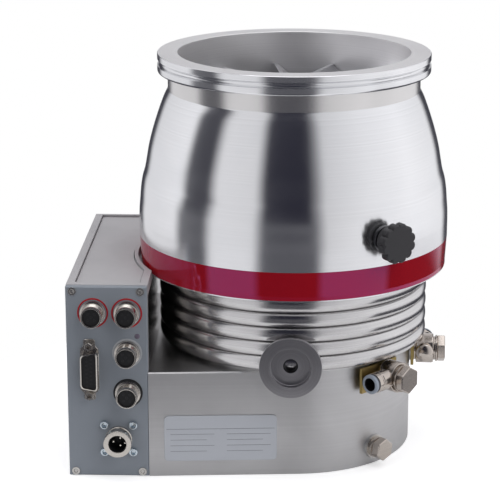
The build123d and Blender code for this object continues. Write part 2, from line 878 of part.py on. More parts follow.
inlet_face = on_panel(inlet_place)
pin_places = PolarLocations(inlet_pin_circle, 3, start_angle=60)
with BuildPart() as power_inlet:
    disc(inlet_face, inlet_waist_radius, inlet_waist)
    disc(inlet_face.offset(inlet_waist), inlet_barrel_radius, inlet_reach - inlet_waist)
    bore(inlet_face.offset(inlet_reach), inlet_bore, -inlet_bore_depth)
    bore(inlet_face, inlet_pin_radius + seat_gap, inlet_reach - inlet_bore_depth, pin_places)
finish(power_inlet, "power_inlet")

with BuildPart() as inlet_pins:
    studs(inlet_face, inlet_pin_radius, inlet_reach - inlet_bore_depth + inlet_pin_length, pin_places)
finish(inlet_pins, "inlet_pins")

with BuildPart() as status_lamp:
    disc(on_panel(led_place), led_radius, led_reach)
finish(status_lamp, "status_lamp")
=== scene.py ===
"""The dressed model of a turbomolecular pump, with its studio and its camera."""

import json
import logging
import math
from collections.abc import Callable
from dataclasses import dataclass, field
from enum import Enum

import bmesh
import bpy
from mathutils import Matrix, Vector


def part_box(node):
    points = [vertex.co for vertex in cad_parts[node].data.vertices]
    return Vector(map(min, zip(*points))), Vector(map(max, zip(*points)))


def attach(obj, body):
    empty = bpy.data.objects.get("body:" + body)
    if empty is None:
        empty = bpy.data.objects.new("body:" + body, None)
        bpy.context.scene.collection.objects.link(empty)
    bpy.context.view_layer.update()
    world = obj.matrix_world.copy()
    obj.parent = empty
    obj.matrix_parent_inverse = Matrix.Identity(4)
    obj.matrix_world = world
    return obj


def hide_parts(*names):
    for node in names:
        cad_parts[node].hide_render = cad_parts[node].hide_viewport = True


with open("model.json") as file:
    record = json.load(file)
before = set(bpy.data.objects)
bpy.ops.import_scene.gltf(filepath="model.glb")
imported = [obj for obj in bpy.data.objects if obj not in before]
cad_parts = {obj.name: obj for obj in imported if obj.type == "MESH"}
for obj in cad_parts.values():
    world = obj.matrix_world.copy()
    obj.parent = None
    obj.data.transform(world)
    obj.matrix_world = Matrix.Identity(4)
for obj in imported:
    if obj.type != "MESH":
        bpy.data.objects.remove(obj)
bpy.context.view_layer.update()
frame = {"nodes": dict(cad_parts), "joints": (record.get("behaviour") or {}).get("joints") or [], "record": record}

LOG = logging.getLogger("pump")
MM = 0.001
PUMP = "pump_body"
UPRIGHT = Matrix.Identity(4)
OUT_OF_PANEL = Vector((0, -1, 0))
# Corners straighter than this stay as they are, and a rounding takes at most this share of a side
FLAT_CORNER = math.radians(172)
LONGEST_REACH = 0.45
# Below this radius in millimetres a point of a turned outline counts as lying on the axis
ON_AXIS = 1e-6
# How far a shank reaches into its head, so that the two leave no gap
OVERLAP = 0.2
# Short sides that draw the rim's groove and one cooling ridge
GROOVE_STEPS = 8
RIDGE_STEPS = 10
Point = tuple[float, float]
Colour = tuple[float, float, float]
Place = tuple[float, float, float]


# ------------------------------------------------------------------ reading the frame


def node_box(node: str) -> tuple[Vector, Vector]:
    """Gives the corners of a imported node.

    Args:
        node: name of the node.

    Returns:
        Its lowest and highest corner, in millimetres.
    """
    low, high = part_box(node)
    return low / MM, high / MM


def named(items: list[dict], name: str) -> dict:
    """Finds the entry of a list that has a given name."""
    return next(item for item in items if item["name"] == name)


def mount_radius(name: str) -> float:
    """Gives the radius of a round mount, in millimetres."""
    return named(frame["record"]["mounts"], name)["dims"]["r_mm"]


def mount_place(name: str) -> tuple[Vector, Vector]:
    """Gives the place and the direction of a mount.

    Args:
        name: name of the mount in the record.

    Returns:
        Its position in millimetres and its axis.
    """
    mount = named(frame["record"]["mounts"], name)
    return Vector(mount["pos_m"]) / MM, Vector(mount["axis"])


def joint_place(name: str) -> tuple[Vector, Vector]:
    """Gives the place and the direction of a joint.

    Args:
        name: name of the joint.

    Returns:
        A point of its axis in millimetres, and the axis.
    """
    joint = named(frame["joints"], name)
    return Vector(joint.get("pos_m", (0, 0, 0))) / MM, Vector(joint["axis"])


def turned_to(origin: Vector, axis: Vector, up: Vector = Vector((0, 0, 1))) -> Matrix:
    """Builds a place whose Z runs along an axis and whose Y stays close to a given direction.

    Args:
        origin: the place's origin in millimetres.
        axis: direction of its Z.
        up: direction that its Y leans towards.

    Returns:
        The matrix from the place to the frame.
    """
    forward = axis.normalized()
    sideways = up.cross(forward).normalized()
    upward = forward.cross(sideways)
    turn = Matrix((sideways, upward, forward)).transposed().to_4x4()
    return Matrix.Translation(origin) @ turn


def along(place: Matrix, distance: float) -> Matrix:
    """Moves a place along its own Z."""
    return place @ Matrix.Translation((0, 0, distance))


def beside(place: Matrix, right: float, up: float) -> Matrix:
    """Moves a place along its own X and Y."""
    return place @ Matrix.Translation((right, up, 0))


# ------------------------------------------------------------------ outlines


def softened(points: list[Point], radius: float, steps: int = 3, closed: bool = True) -> list[Point]:
    """Rounds the corners of an outline.

    Args:
        points: the outline's corners.
        radius: how far from each corner the rounding starts, less on short sides.
        steps: number of short sides that replace a corner.
        closed: whether the last corner joins the first.

    Returns:
        The corners of the rounded outline.
    """
    corners = [Vector((x, y)) for x, y in points]
    rounded: list[Point] = []
    for index, corner in enumerate(corners):
        before = corners[index - 1] - corner
        after = corners[(index + 1) % len(corners)] - corner
        loose_end = not closed and index in (0, len(corners) - 1)
        if loose_end or before.angle(after) > FLAT_CORNER:
            rounded.append(tuple(corner))
            continue
        reach = min(radius, before.length * LONGEST_REACH, after.length * LONGEST_REACH)
        start = corner + before.normalized() * reach
        end = corner + after.normalized() * reach
        for step in range(steps + 1):
            share = step / steps
            first = start.lerp(corner, share)
            second = corner.lerp(end, share)
            rounded.append(tuple(first.lerp(second, share)))
    return rounded


def smooth_through(points: list[Point], steps: int = 6) -> list[Point]:
    """Draws a smooth curve through points.

    Args:
        points: the points that the curve passes.
        steps: short sides between two points.

    Returns:
        The points of the curve.
    """
    ends = [points[0], *points, points[-1]]
    curve: list[Point] = []
    for index in range(1, len(ends) - 2):
        p0, p1, p2, p3 = (Vector(ends[index + shift]) for shift in (-1, 0, 1, 2))
        for step in range(steps):
            t = step / steps
            place = p1 * 2 + (p2 - p0) * t
            place += (p0 * 2 - p1 * 5 + p2 * 4 - p3) * t * t
            place += (p1 * 3 - p0 - p2 * 3 + p3) * t * t * t
            curve.append(tuple(place / 2))
    curve.append(tuple(points[-1]))
    return curve


def regular(count: int, radius: float, turn: float = 0.0) -> list[Point]:
    """Gives the corners of a regular polygon."""
    angles = [math.tau * index / count + turn for index in range(count)]
    return [(radius * math.cos(angle), radius * math.sin(angle)) for angle in angles]


def box_outline(width: float, height: float) -> list[Point]:
    """Gives the corners of a rectangle about the origin."""
    x, y = width / 2, height / 2
    return [(x, -y), (x, y), (-x, y), (-x, -y)]


def band_outline(inner: float, outer: float, foot: float, top: float) -> list[Point]:
    """Gives the (radius, level) corners of a ring or, with no inner radius, of a disc's rim."""
    return [(inner, foot), (outer, foot), (outer, top), (inner, top)]


# ------------------------------------------------------------------ meshes


@dataclass
class Shape:
    """A mesh in the making, drawn in millimetres.

    Attributes:
        name: name of the piece.
        crease: angle in degrees above which an edge stays sharp.
        mesh: the drawing.
    """

    name: str
    crease: float = 32.0
    mesh: bmesh.types.BMesh = field(default_factory=bmesh.new)

    def bridge(self, rings: list[list[bmesh.types.BMVert]]) -> None:
        """Joins each ring of corners to the next; a corner that is in both gives a triangle.

        Args:
            rings: the rings, equally long.
        """
        for lower, upper in zip(rings, rings[1:]):
            for index in range(len(lower)):
                following = (index + 1) % len(lower)
                loop = [lower[index], lower[following], upper[following], upper[index]]
                unique = list(dict.fromkeys(loop))
                if len(unique) > 2:
                    self.mesh.faces.new(unique)

    def turn(
        self, outline: list[Point], place: Matrix, sides: int = 96, closed: bool = True, soft: float = 0.0,
        steps: int = 2,
    ) -> None:
        """Adds a turned form.

        Args:
            outline: (radius, level) points; a closed outline makes a ring.
            place: the place whose Z is the turning axis.
            sides: number of facets round the axis.
            closed: whether the last point joins the first.
            soft: rounding of the outline's corners.
            steps: short sides that replace a rounded corner.
        """
        if soft:
            outline = softened(outline, soft, steps, closed)
        rings = []
        for radius, level in outline:
            if radius < ON_AXIS:
                rings.append([self.mesh.verts.new(place @ Vector((0, 0, level)))] * sides)
                continue
            corners = regular(sides, radius)
            rings.append([self.mesh.verts.new(place @ Vector((x, y, level))) for x, y in corners])
        if closed:
            rings.append(rings[0])
        self.bridge(rings)

    def push(self, outline: list[Point], place: Matrix, depth: float, bevel: float = 0.0) -> None:
        """Adds a straight form with the same outline all along.

        Args:
            outline: the corners, counted anticlockwise.
            place: the place of the outline; the form grows along its Z.
            depth: length of the form.
            bevel: width of the rounding along its two rims.
        """
        levels = [(0.0, 0.0), (depth, 0.0)]
        if bevel:
            levels = [(0.0, bevel), (bevel, 0.0), (depth - bevel, 0.0), (depth, bevel)]
        corners = [Vector((x, y, 0)) for x, y in outline]
        inwards = []
        for index, corner in enumerate(corners):
            before = (corner - corners[index - 1]).normalized()
            after = (corners[(index + 1) % len(corners)] - corner).normalized()
            inward = Vector((-before.y - after.y, before.x + after.x, 0))
            inwards.append(inward / max(ON_AXIS, inward.length_squared / 2))
        pairs = list(zip(corners, inwards))
        self.shell([
            [place @ (corner + inward * inset + Vector((0, 0, level))) for corner, inward in pairs]
            for level, inset in levels
        ])

    def shell(self, sections: list[list[Vector]]) -> None:
        """Adds a closed form that passes through equal rings of points.

        Args:
            sections: the rings, from one end to the other.
        """
        rings = [[self.mesh.verts.new(point) for point in section] for section in sections]
        self.bridge(rings)
        self.mesh.faces.new(rings[0][::-1])
        self.mesh.faces.new(rings[-1])

    def done(self, finish: "Finish", slot: str, *nodes: str, body: str = PUMP) -> bpy.types.Object:
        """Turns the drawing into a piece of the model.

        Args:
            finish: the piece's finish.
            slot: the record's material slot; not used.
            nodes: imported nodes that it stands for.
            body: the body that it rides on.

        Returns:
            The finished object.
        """
        bmesh.ops.remove_doubles(self.mesh, verts=self.mesh.verts, dist=0.0005)
        bmesh.ops.recalc_face_normals(self.mesh, faces=self.mesh.faces)
        bmesh.ops.scale(self.mesh, vec=(MM, MM, MM), verts=self.mesh.verts)
        data = bpy.data.meshes.new(self.name)
        self.mesh.to_mesh(data)
        self.mesh.free()
        data.shade_smooth()
        data.set_sharp_from_angle(angle=math.radians(self.crease))
        piece = bpy.data.objects.new(self.name, data)
        bpy.context.scene.collection.objects.link(piece)
        data.materials.append(finish.material())
        weights = piece.modifiers.new("face_weights", "WEIGHTED_NORMAL")
        weights.keep_sharp = True
        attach(piece, body)
        if nodes:
            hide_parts(*nodes)
        LOG.info("%s: %d faces on %s", self.name, len(data.polygons), body)
        return piece


# ------------------------------------------------------------------ shader building blocks

Tree = bpy.types.NodeTree
Socket = bpy.types.NodeSocket


def add_node(tree: Tree, kind: str, inputs: dict | None = None, **settings: object) -> bpy.types.Node:
    """Adds a shader node.

    Args:
        tree: the node tree.
        kind: type of the node, without its prefix.
        inputs: for an input's name or number, the value or the socket that feeds it.
        settings: the node's own settings.

    Returns:
        The node.
    """
    node = tree.nodes.new(f"ShaderNode{kind}")
    for name, value in settings.items():
        setattr(node, name, value)
    for name, value in (inputs or {}).items():
        if isinstance(value, Socket):
            tree.links.new(value, node.inputs[name])
        else:
            node.inputs[name].default_value = value
    return node


def computed(tree: Tree, operation: str, first: Socket, second: Socket | float) -> Socket:
    """Works out one number from two."""
    return add_node(tree, "Math", {0: first, 1: second}, operation=operation).outputs["Value"]


def mapped(
    tree: Tree, value: Socket, source: Point = (0.0, 1.0), target: Point = (0.0, 1.0), soft: bool = False,
) -> Socket:
    """Maps a value from one range to another.

    Args:
        tree: the node tree.
        value: the value.
        source: start and end of its range.
        target: start and end of the result's range.
        soft: whether the result eases in and out.

    Returns:
        The result's socket.
    """
    inputs = {"Value": value, "From Min": source[0], "From Max": source[1]}
    inputs |= {"To Min": target[0], "To Max": target[1]}
    kind = "SMOOTHSTEP" if soft else "LINEAR"
    return add_node(tree, "MapRange", inputs, interpolation_type=kind).outputs["Result"]


def blended(tree: Tree, share: Socket, first: Socket | tuple, second: Socket | tuple) -> Socket:
    """Mixes two colours; a share of one gives the second."""
    return add_node(tree, "Mix", {0: share, 6: first, 7: second}, data_type="RGBA").outputs[2]


class Effect(Enum):
    """The shader groups that several finishes share, with the kind of place that each one reads."""

    TOOL_LINES = ("tool_lines", "Float")
    CLOUDED_TONE = ("clouded_tone", "Vector")
    FINE_GRAIN = ("fine_grain", "Vector")


def tool_lines(tree: Tree, place: Socket, scale: Socket) -> Socket:
    """Makes the fine grooves that a lathe or a mill leaves along one coordinate.

    Args:
        tree: the group that it is built in.
        place: the coordinate.
        scale: lines per metre, roughly.

    Returns:
        The mask.
    """
    inputs = {"W": place, "Scale": scale, "Detail": 6.0, "Roughness": 0.75}
    noise = add_node(tree, "TexNoise", inputs, noise_dimensions="1D")
    return mapped(tree, noise.outputs["Fac"], (0.3, 0.7))


def clouded_tone(tree: Tree, place: Socket, scale: Socket) -> Socket:
    """Makes a slow change of tone over a surface, as handling and wiping leave it.

    Args:
        tree: the group that it is built in.
        place: the position.
        scale: clouds per metre, roughly.

    Returns:
        The mask.
    """
    inputs = {"Vector": place, "Scale": scale, "Detail": 4.0, "Roughness": 0.6, "Distortion": 0.4}
    return mapped(tree, add_node(tree, "TexNoise", inputs).outputs["Fac"], (0.35, 0.68), soft=True)


def fine_grain(tree: Tree, place: Socket, scale: Socket) -> Socket:
    """Makes the fine pebbled grain of paint, plastic or rubber.

    Args:
        tree: the group that it is built in.
        place: the position.
        scale: grains per metre, roughly.

    Returns:
        The mask.
    """
    inputs = {"Vector": place, "Scale": scale}
    pebbles = add_node(tree, "TexVoronoi", inputs, feature="SMOOTH_F1")
    grit = add_node(tree, "TexNoise", {**inputs, "Detail": 3.0})
    return computed(tree, "MULTIPLY", pebbles.outputs["Distance"], grit.outputs["Fac"])


MASK_MAKERS = {
    Effect.TOOL_LINES: tool_lines,
    Effect.CLOUDED_TONE: clouded_tone,
    Effect.FINE_GRAIN: fine_grain,
}


def shared_group(effect: Effect) -> Tree:
    """Finds a shared group, and builds it on its first use.

    Args:
        effect: the effect that is wanted.

    Returns:
        Its group, from a place and a scale to a mask.
    """
    name, kind = effect.value
    if name in bpy.data.node_groups:
        return bpy.data.node_groups[name]
    group = bpy.data.node_groups.new(name, "ShaderNodeTree")
    group.interface.new_socket(name="Place", in_out="INPUT", socket_type=f"NodeSocket{kind}")
    group.interface.new_socket(name="Scale", in_out="INPUT", socket_type="NodeSocketFloat")
    group.interface.new_socket(name="Mask", in_out="OUTPUT", socket_type="NodeSocketFloat")
    entry = group.nodes.new("NodeGroupInput").outputs
    mask = MASK_MAKERS[effect](group, entry["Place"], entry["Scale"])
    group.links.new(mask, group.nodes.new("NodeGroupOutput").inputs["Mask"])
    return group


def effect_mask(tree: Tree, effect: Effect, place: Socket, scale: float) -> Socket:
    """Places a shared group in a material.

    Args:
        tree: the material's node tree.
        effect: the group's effect.
        place: the place that it reads.
        scale: its scale.

    Returns:
        The mask.
    """
    inputs = {"Place": place, "Scale": scale}
    return add_node(tree, "Group", inputs, node_tree=shared_group(effect)).outputs["Mask"]


# ------------------------------------------------------------------ finishes

CLOUD_SCALE = 14.0
ROUGHNESS_SPREAD = 0.12
# How closely tool lines lie on a face that is square to the turning axis, beside a turned wall
FACE_LINE_SHARE = 0.83


@dataclass(frozen=True)
class Finish:
    """A finish that a piece can take.

    Attributes:
        name: name of its material.
        colour: its main colour, linear.
        second: the colour that it shifts to in places.
        roughness: its mean roughness.
        metallic: 1 for bare metal.
        clouds: how much the second colour shows.
    """

    name: str
    colour: Colour
    second: Colour
    roughness: float
    metallic: float = 1.0
    clouds: float = 0.5

    def material(self) -> bpy.types.Material:
        """Finds the material, and builds it on its first use."""
        return bpy.data.materials.get(self.name) or self.build()

    def build(self) -> bpy.types.Material:
        """Builds tone, clouds and roughness, and then what only this kind of finish has.

        Returns:
            The new material.
        """
        material = bpy.data.materials.new(self.name)
        material.use_nodes = True
        tree = material.node_tree
        shader = tree.nodes["Principled BSDF"].inputs
        shader["Metallic"].default_value = self.metallic
        place = add_node(tree, "TexCoord").outputs["Object"]
        mask = effect_mask(tree, Effect.CLOUDED_TONE, place, CLOUD_SCALE)
        share = computed(tree, "MULTIPLY", mask, self.clouds)
        tone = blended(tree, share, (*self.colour, 1), (*self.second, 1))
        limits = (self.roughness * (1 - ROUGHNESS_SPREAD), self.roughness * (1 + ROUGHNESS_SPREAD))
        tree.links.new(mapped(tree, mask, target=limits), shader["Roughness"])
        toned, relief, depth = self.detail(tree, place, tone)
        tree.links.new(toned, shader["Base Color"])
        bump = add_node(tree, "Bump", {"Height": relief, "Distance": depth * MM})
        tree.links.new(bump.outputs["Normal"], shader["Normal"])
        return material

    def detail(self, tree: Tree, place: Socket, tone: Socket) -> tuple[Socket, Socket, float]:
        """Adds what only this kind of finish has.

        Args:
            tree: the material's node tree.
            place: the position on the piece.
            tone: the colour so far.

        Returns:
            The final colour, the relief's mask and its depth in millimetres.
        """
        raise NotImplementedError


@dataclass(frozen=True)
class MachinedMetal(Finish):
    """Bare metal with the lines of the tool that cut it.

    Attributes:
        spin: the axis that the piece was turned about, as a unit vector.
        centre: a point of that axis, in millimetres.
        turned: 1 when the tool ran round the axis, 0 when it ran square to it.
        line_scale: tool lines per metre, roughly.
        line_depth: depth of the lines in millimetres.
        line_tone: how much the lines change the colour.
        stretch: how far highlights are drawn out across the lines.
    """

    spin: Place = (0, 0, 1)
    centre: Place = (0, 0, 0)
    turned: float = 1.0
    line_scale: float = 900.0
    line_depth: float = 0.004
    line_tone: float = 0.12
    stretch: float = 0.0

    def detail(self, tree: Tree, place: Socket, tone: Socket) -> tuple[Socket, Socket, float]:
        """Adds the tool lines and the drawn-out highlights.

        Args:
            tree: the material's node tree.
            place: the position on the piece.
            tone: the colour so far.

        Returns:
            The final colour, the relief's mask and its depth in millimetres.
        """
        centre = [value * MM for value in self.centre]
        arm = add_node(tree, "VectorMath", {0: place, 1: centre}, operation="SUBTRACT").outputs["Vector"]
        rise = add_node(tree, "VectorMath", {0: arm, 1: self.spin}, operation="DOT_PRODUCT").outputs["Value"]
        across = [1 - abs(value) for value in self.spin]
        flat = add_node(tree, "VectorMath", {0: arm, 1: across}, operation="MULTIPLY").outputs["Vector"]
        reach = add_node(tree, "VectorMath", {0: flat}, operation="LENGTH").outputs["Value"]
        inputs = {0: reach, 1: FACE_LINE_SHARE * self.turned, 2: rise}
        position = add_node(tree, "Math", inputs, operation="MULTIPLY_ADD").outputs["Value"]
        lines = effect_mask(tree, Effect.TOOL_LINES, position, self.line_scale)
        shade = mapped(tree, lines, target=(1.0 - self.line_tone, 1.0))
        toned = add_node(tree, "VectorMath", {0: tone, "Scale": shade}, operation="SCALE").outputs["Vector"]
        if self.stretch:
            shader = tree.nodes["Principled BSDF"].inputs
            shader["Anisotropic"].default_value = self.stretch
            shader["Anisotropic Rotation"].default_value = 0.25
            tangent = add_node(tree, "Tangent", direction_type="RADIAL", axis="Z")
            tree.links.new(tangent.outputs["Tangent"], shader["Tangent"])
        return toned, lines, self.line_depth


@dataclass(frozen=True)
class GrainedCoat(Finish):
    """Paint, plastic or rubber with a fine grain.

    Attributes:
        metallic: 0, as none of these is bare metal.
        grain_scale: grains per metre, roughly.
        grain_depth: depth of the grain in millimetres.
        coat: weight of a clear coat over the colour.
        coat_roughness: roughness of that coat.
        sheen_tint: colour of what the surface mirrors.
        index: refractive index of the surface.
    """

    metallic: float = 0.0
    grain_scale: float = 1500.0
    grain_depth: float = 0.02
    coat: float = 0.0
    coat_roughness: float = 0.1
    sheen_tint: Colour = (1.0, 1.0, 1.0)
    index: float = 1.45

    def detail(self, tree: Tree, place: Socket, tone: Socket) -> tuple[Socket, Socket, float]:
        """Adds the grain and the clear coat.

        Args:
            tree: the material's node tree.
            place: the position on the piece.
            tone: the colour so far.

        Returns:
            The final colour, the relief's mask and its depth in millimetres.
        """
        shader = tree.nodes["Principled BSDF"].inputs
        shader["IOR"].default_value = self.index
        shader["Specular Tint"].default_value = (*self.sheen_tint, 1)
        shader["Coat Weight"].default_value = self.coat
        shader["Coat Roughness"].default_value = self.coat_roughness
        return tone, effect_mask(tree, Effect.FINE_GRAIN, place, self.grain_scale), self.grain_depth


BELL_METAL = MachinedMetal(
    "bell_turned_aluminium", (0.90, 0.90, 0.91), (0.85, 0.86, 0.88), 0.18, line_scale=1500,
    line_depth=0.002, line_tone=0.07, stretch=0.75,
)
INLET_METAL = MachinedMetal(
    "inlet_turned_aluminium", (0.93, 0.92, 0.92), (0.88, 0.87, 0.88), 0.42, line_scale=1200, line_tone=0.08,
)
NECK_METAL = MachinedMetal(
    "neck_turned_aluminium", (0.80, 0.785, 0.775), (0.75, 0.735, 0.725), 0.24, line_scale=1500,
    line_depth=0.002, line_tone=0.06, stretch=0.6,
)
FIN_METAL = MachinedMetal(
    "fin_turned_aluminium", (0.70, 0.69, 0.69), (0.62, 0.61, 0.61), 0.20, line_scale=1600, line_tone=0.1,
    stretch=0.6,
)
BASE_METAL = MachinedMetal(
    "base_milled_aluminium", (0.60, 0.595, 0.60), (0.54, 0.535, 0.54), 0.40, turned=0.0, line_scale=420,
    line_depth=0.004, line_tone=0.06, stretch=0.5,
)
COVER_METAL = MachinedMetal(
    "cover_turned_aluminium", (0.66, 0.66, 0.67), (0.58, 0.58, 0.60), 0.38, line_scale=900,
)
BLADE_METAL = MachinedMetal(
    "milled_blade_aluminium", (0.82, 0.82, 0.84), (0.74, 0.74, 0.76), 0.30, line_scale=700, line_depth=0.004,
)
SHEET_METAL = MachinedMetal(
    "bright_side_sheet", (0.70, 0.68, 0.65), (0.60, 0.58, 0.56), 0.16, turned=0.0, line_scale=300,
    line_depth=0.003, line_tone=0.08,
)
PORT_STEEL = MachinedMetal(
    "turned_port_steel", (0.46, 0.45, 0.47), (0.38, 0.37, 0.39), 0.34, spin=(0, 1, 0), centre=(0, 0, 79),
    line_scale=1500, line_depth=0.010, line_tone=0.35,
)
SCREW_STEEL = MachinedMetal(
    "bright_screw_steel", (0.70, 0.68, 0.65), (0.58, 0.56, 0.54), 0.26, spin=(0, 1, 0), line_scale=500,
)
BLUE_ZINC = MachinedMetal(
    "blue_zinc_plating", (0.66, 0.74, 0.80), (0.54, 0.62, 0.68), 0.24, spin=(0, 1, 0), line_scale=500,
)
DARK_STEEL = MachinedMetal(
    "dark_seat_steel", (0.16, 0.16, 0.17), (0.12, 0.12, 0.13), 0.35, line_scale=900,
)
# Near-black finish inside the fore-line port's bore and on the cap at its end: painted shade for a hole that light
# does not reach
PAINTED_SHADE_BORE = MachinedMetal(
    "painted_shade_bore_lining", (0.035, 0.035, 0.038), (0.025, 0.025, 0.028), 0.6, spin=(0, 1, 0), line_scale=500,
)
FITTING_NICKEL = MachinedMetal(
    "nickel_plated_fitting", (0.62, 0.56, 0.51), (0.50, 0.45, 0.40), 0.20, line_scale=600, line_tone=0.10,
    line_depth=0.002,
)
SOCKET_NICKEL = MachinedMetal(
    "nickel_plated_socket", (0.68, 0.64, 0.59), (0.54, 0.51, 0.47), 0.20, spin=(0, 1, 0), turned=0.0,
    line_scale=900, line_tone=0.10,
)
PLATE_BRASS = MachinedMetal(
    "plain_brass_plate", (0.46, 0.35, 0.14), (0.34, 0.25, 0.10), 0.4, line_scale=500, line_tone=0.2,
)
PIN_GOLD = MachinedMetal("silvered_pin", (0.86, 0.82, 0.74), (0.76, 0.72, 0.64), 0.2, spin=(0, 1, 0))
LABEL_FACE = GrainedCoat(
    "satin_label_face", (0.47, 0.49, 0.53), (0.42, 0.44, 0.48), 0.35, clouds=0.4, grain_scale=2500,
    grain_depth=0.004, coat=0.3, coat_roughness=0.2,
)
BAND_RED = GrainedCoat(
    "red_band_enamel", (0.33, 0.006, 0.008), (0.29, 0.005, 0.007), 0.06, clouds=0.5, grain_scale=2600,
    grain_depth=0.002, sheen_tint=(0.85, 0.30, 1.0), index=1.85,
)
CASE_PAINT = GrainedCoat(
    "light_grey_case_paint", (0.42, 0.41, 0.42), (0.38, 0.375, 0.385), 0.5, grain_scale=1900,
    grain_depth=0.015,
)
PANEL_PAINT = GrainedCoat(
    "blue_grey_panel_paint", (0.245, 0.27, 0.305), (0.225, 0.25, 0.28), 0.5, grain_scale=1900,
    grain_depth=0.012,
)
MARK_RED = GrainedCoat("red_marker_ring", (0.42, 0.012, 0.018), (0.36, 0.010, 0.015), 0.45)
MARK_BLACK = GrainedCoat("black_marker_ring", (0.012, 0.012, 0.014), (0.02, 0.02, 0.022), 0.45)
MARK_PALE = GrainedCoat("pale_marker_ring", (0.42, 0.43, 0.45), (0.38, 0.39, 0.41), 0.45)
KNOB_PLASTIC = GrainedCoat(
    "black_knob_plastic", (0.030, 0.029, 0.032), (0.045, 0.043, 0.047), 0.5, grain_scale=1300,
    grain_depth=0.05,
)
WELL_PLASTIC = GrainedCoat("dark_contact_well", (0.020, 0.020, 0.022), (0.014, 0.014, 0.015), 0.4)
# Black plastic of the connectors' inserts; the same finish is also used as painted shade inside the release
# sleeves and the power inlet's shell
BLACK_INSERT_AND_SHADE = GrainedCoat("black_insert_and_painted_shade", (0.006, 0.006, 0.007), (0.010, 0.010, 0.011), 0.55)
SEAL_RUBBER = GrainedCoat("black_seal_rubber", (0.012, 0.012, 0.013), (0.018, 0.018, 0.019), 0.65)
COLLET_PLASTIC = GrainedCoat("pale_blue_collet", (0.30, 0.34, 0.40), (0.26, 0.30, 0.35), 0.42, coat=0.2)
BOARD_LACQUER = GrainedCoat("green_board_lacquer", (0.02, 0.11, 0.05), (0.015, 0.09, 0.04), 0.4, coat=0.4)
LAMP_PLASTIC = GrainedCoat("grey_lamp_cap", (0.13, 0.11, 0.15), (0.16, 0.13, 0.18), 0.25, coat=0.6)
LABEL_RULE = GrainedCoat("label_rule_ink", (0.22, 0.23, 0.26), (0.26, 0.27, 0.30), 0.5)

# How squarely a face has to look away from the axis to be a wall, and up to where it is a lining
FACING_AWAY = 0.99
FACING_IN = 0.01
# How far past a piece's radius its own faces are still looked for
LINING_MARGIN = 1.0
WALL_MARGIN = 0.2


def second_finish(
    piece: bpy.types.Object, finish: Finish, place: Matrix, chosen: Callable[[float, float], bool],
) -> None:
    """Gives some faces of a turned piece another finish.

    Args:
        piece: the piece.
        finish: the other finish.
        place: the place whose Z is the piece's axis.
        chosen: says whether a face takes it, from its distance from the axis and how far it faces away
            from the axis.
    """
    data = piece.data
    data.materials.append(finish.material())
    back = place.inverted()
    for polygon in data.polygons:
        middle = (back @ (polygon.center / MM)).xy
        reach = middle.length
        outward = (back.to_3x3() @ polygon.normal).xy.dot(middle) / max(reach, MM)
        if chosen(reach, outward):
            polygon.material_index = len(data.materials) - 1


def lining_within(limit: float) -> Callable[[float, float], bool]:
    """Chooses the faces within a radius that do not face away from the axis."""
    return lambda reach, outward: reach < limit and outward < FACING_IN


def wall_within(limit: float) -> Callable[[float, float], bool]:
    """Chooses the faces within a radius that look straight away from the axis."""
    return lambda reach, outward: reach < limit and outward > FACING_AWAY


def dress(finish: Finish, *nodes: str) -> None:
    """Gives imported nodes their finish.

    Args:
        finish: the finish that they take.
        nodes: names of the nodes.
    """
    for node in nodes:
        piece = frame["nodes"][node]
        piece.data.materials.clear()
        piece.data.materials.append(finish.material())
        LOG.info("%s dressed in %s", node, finish.name)


# ------------------------------------------------------------------ the pump's sub-assemblies


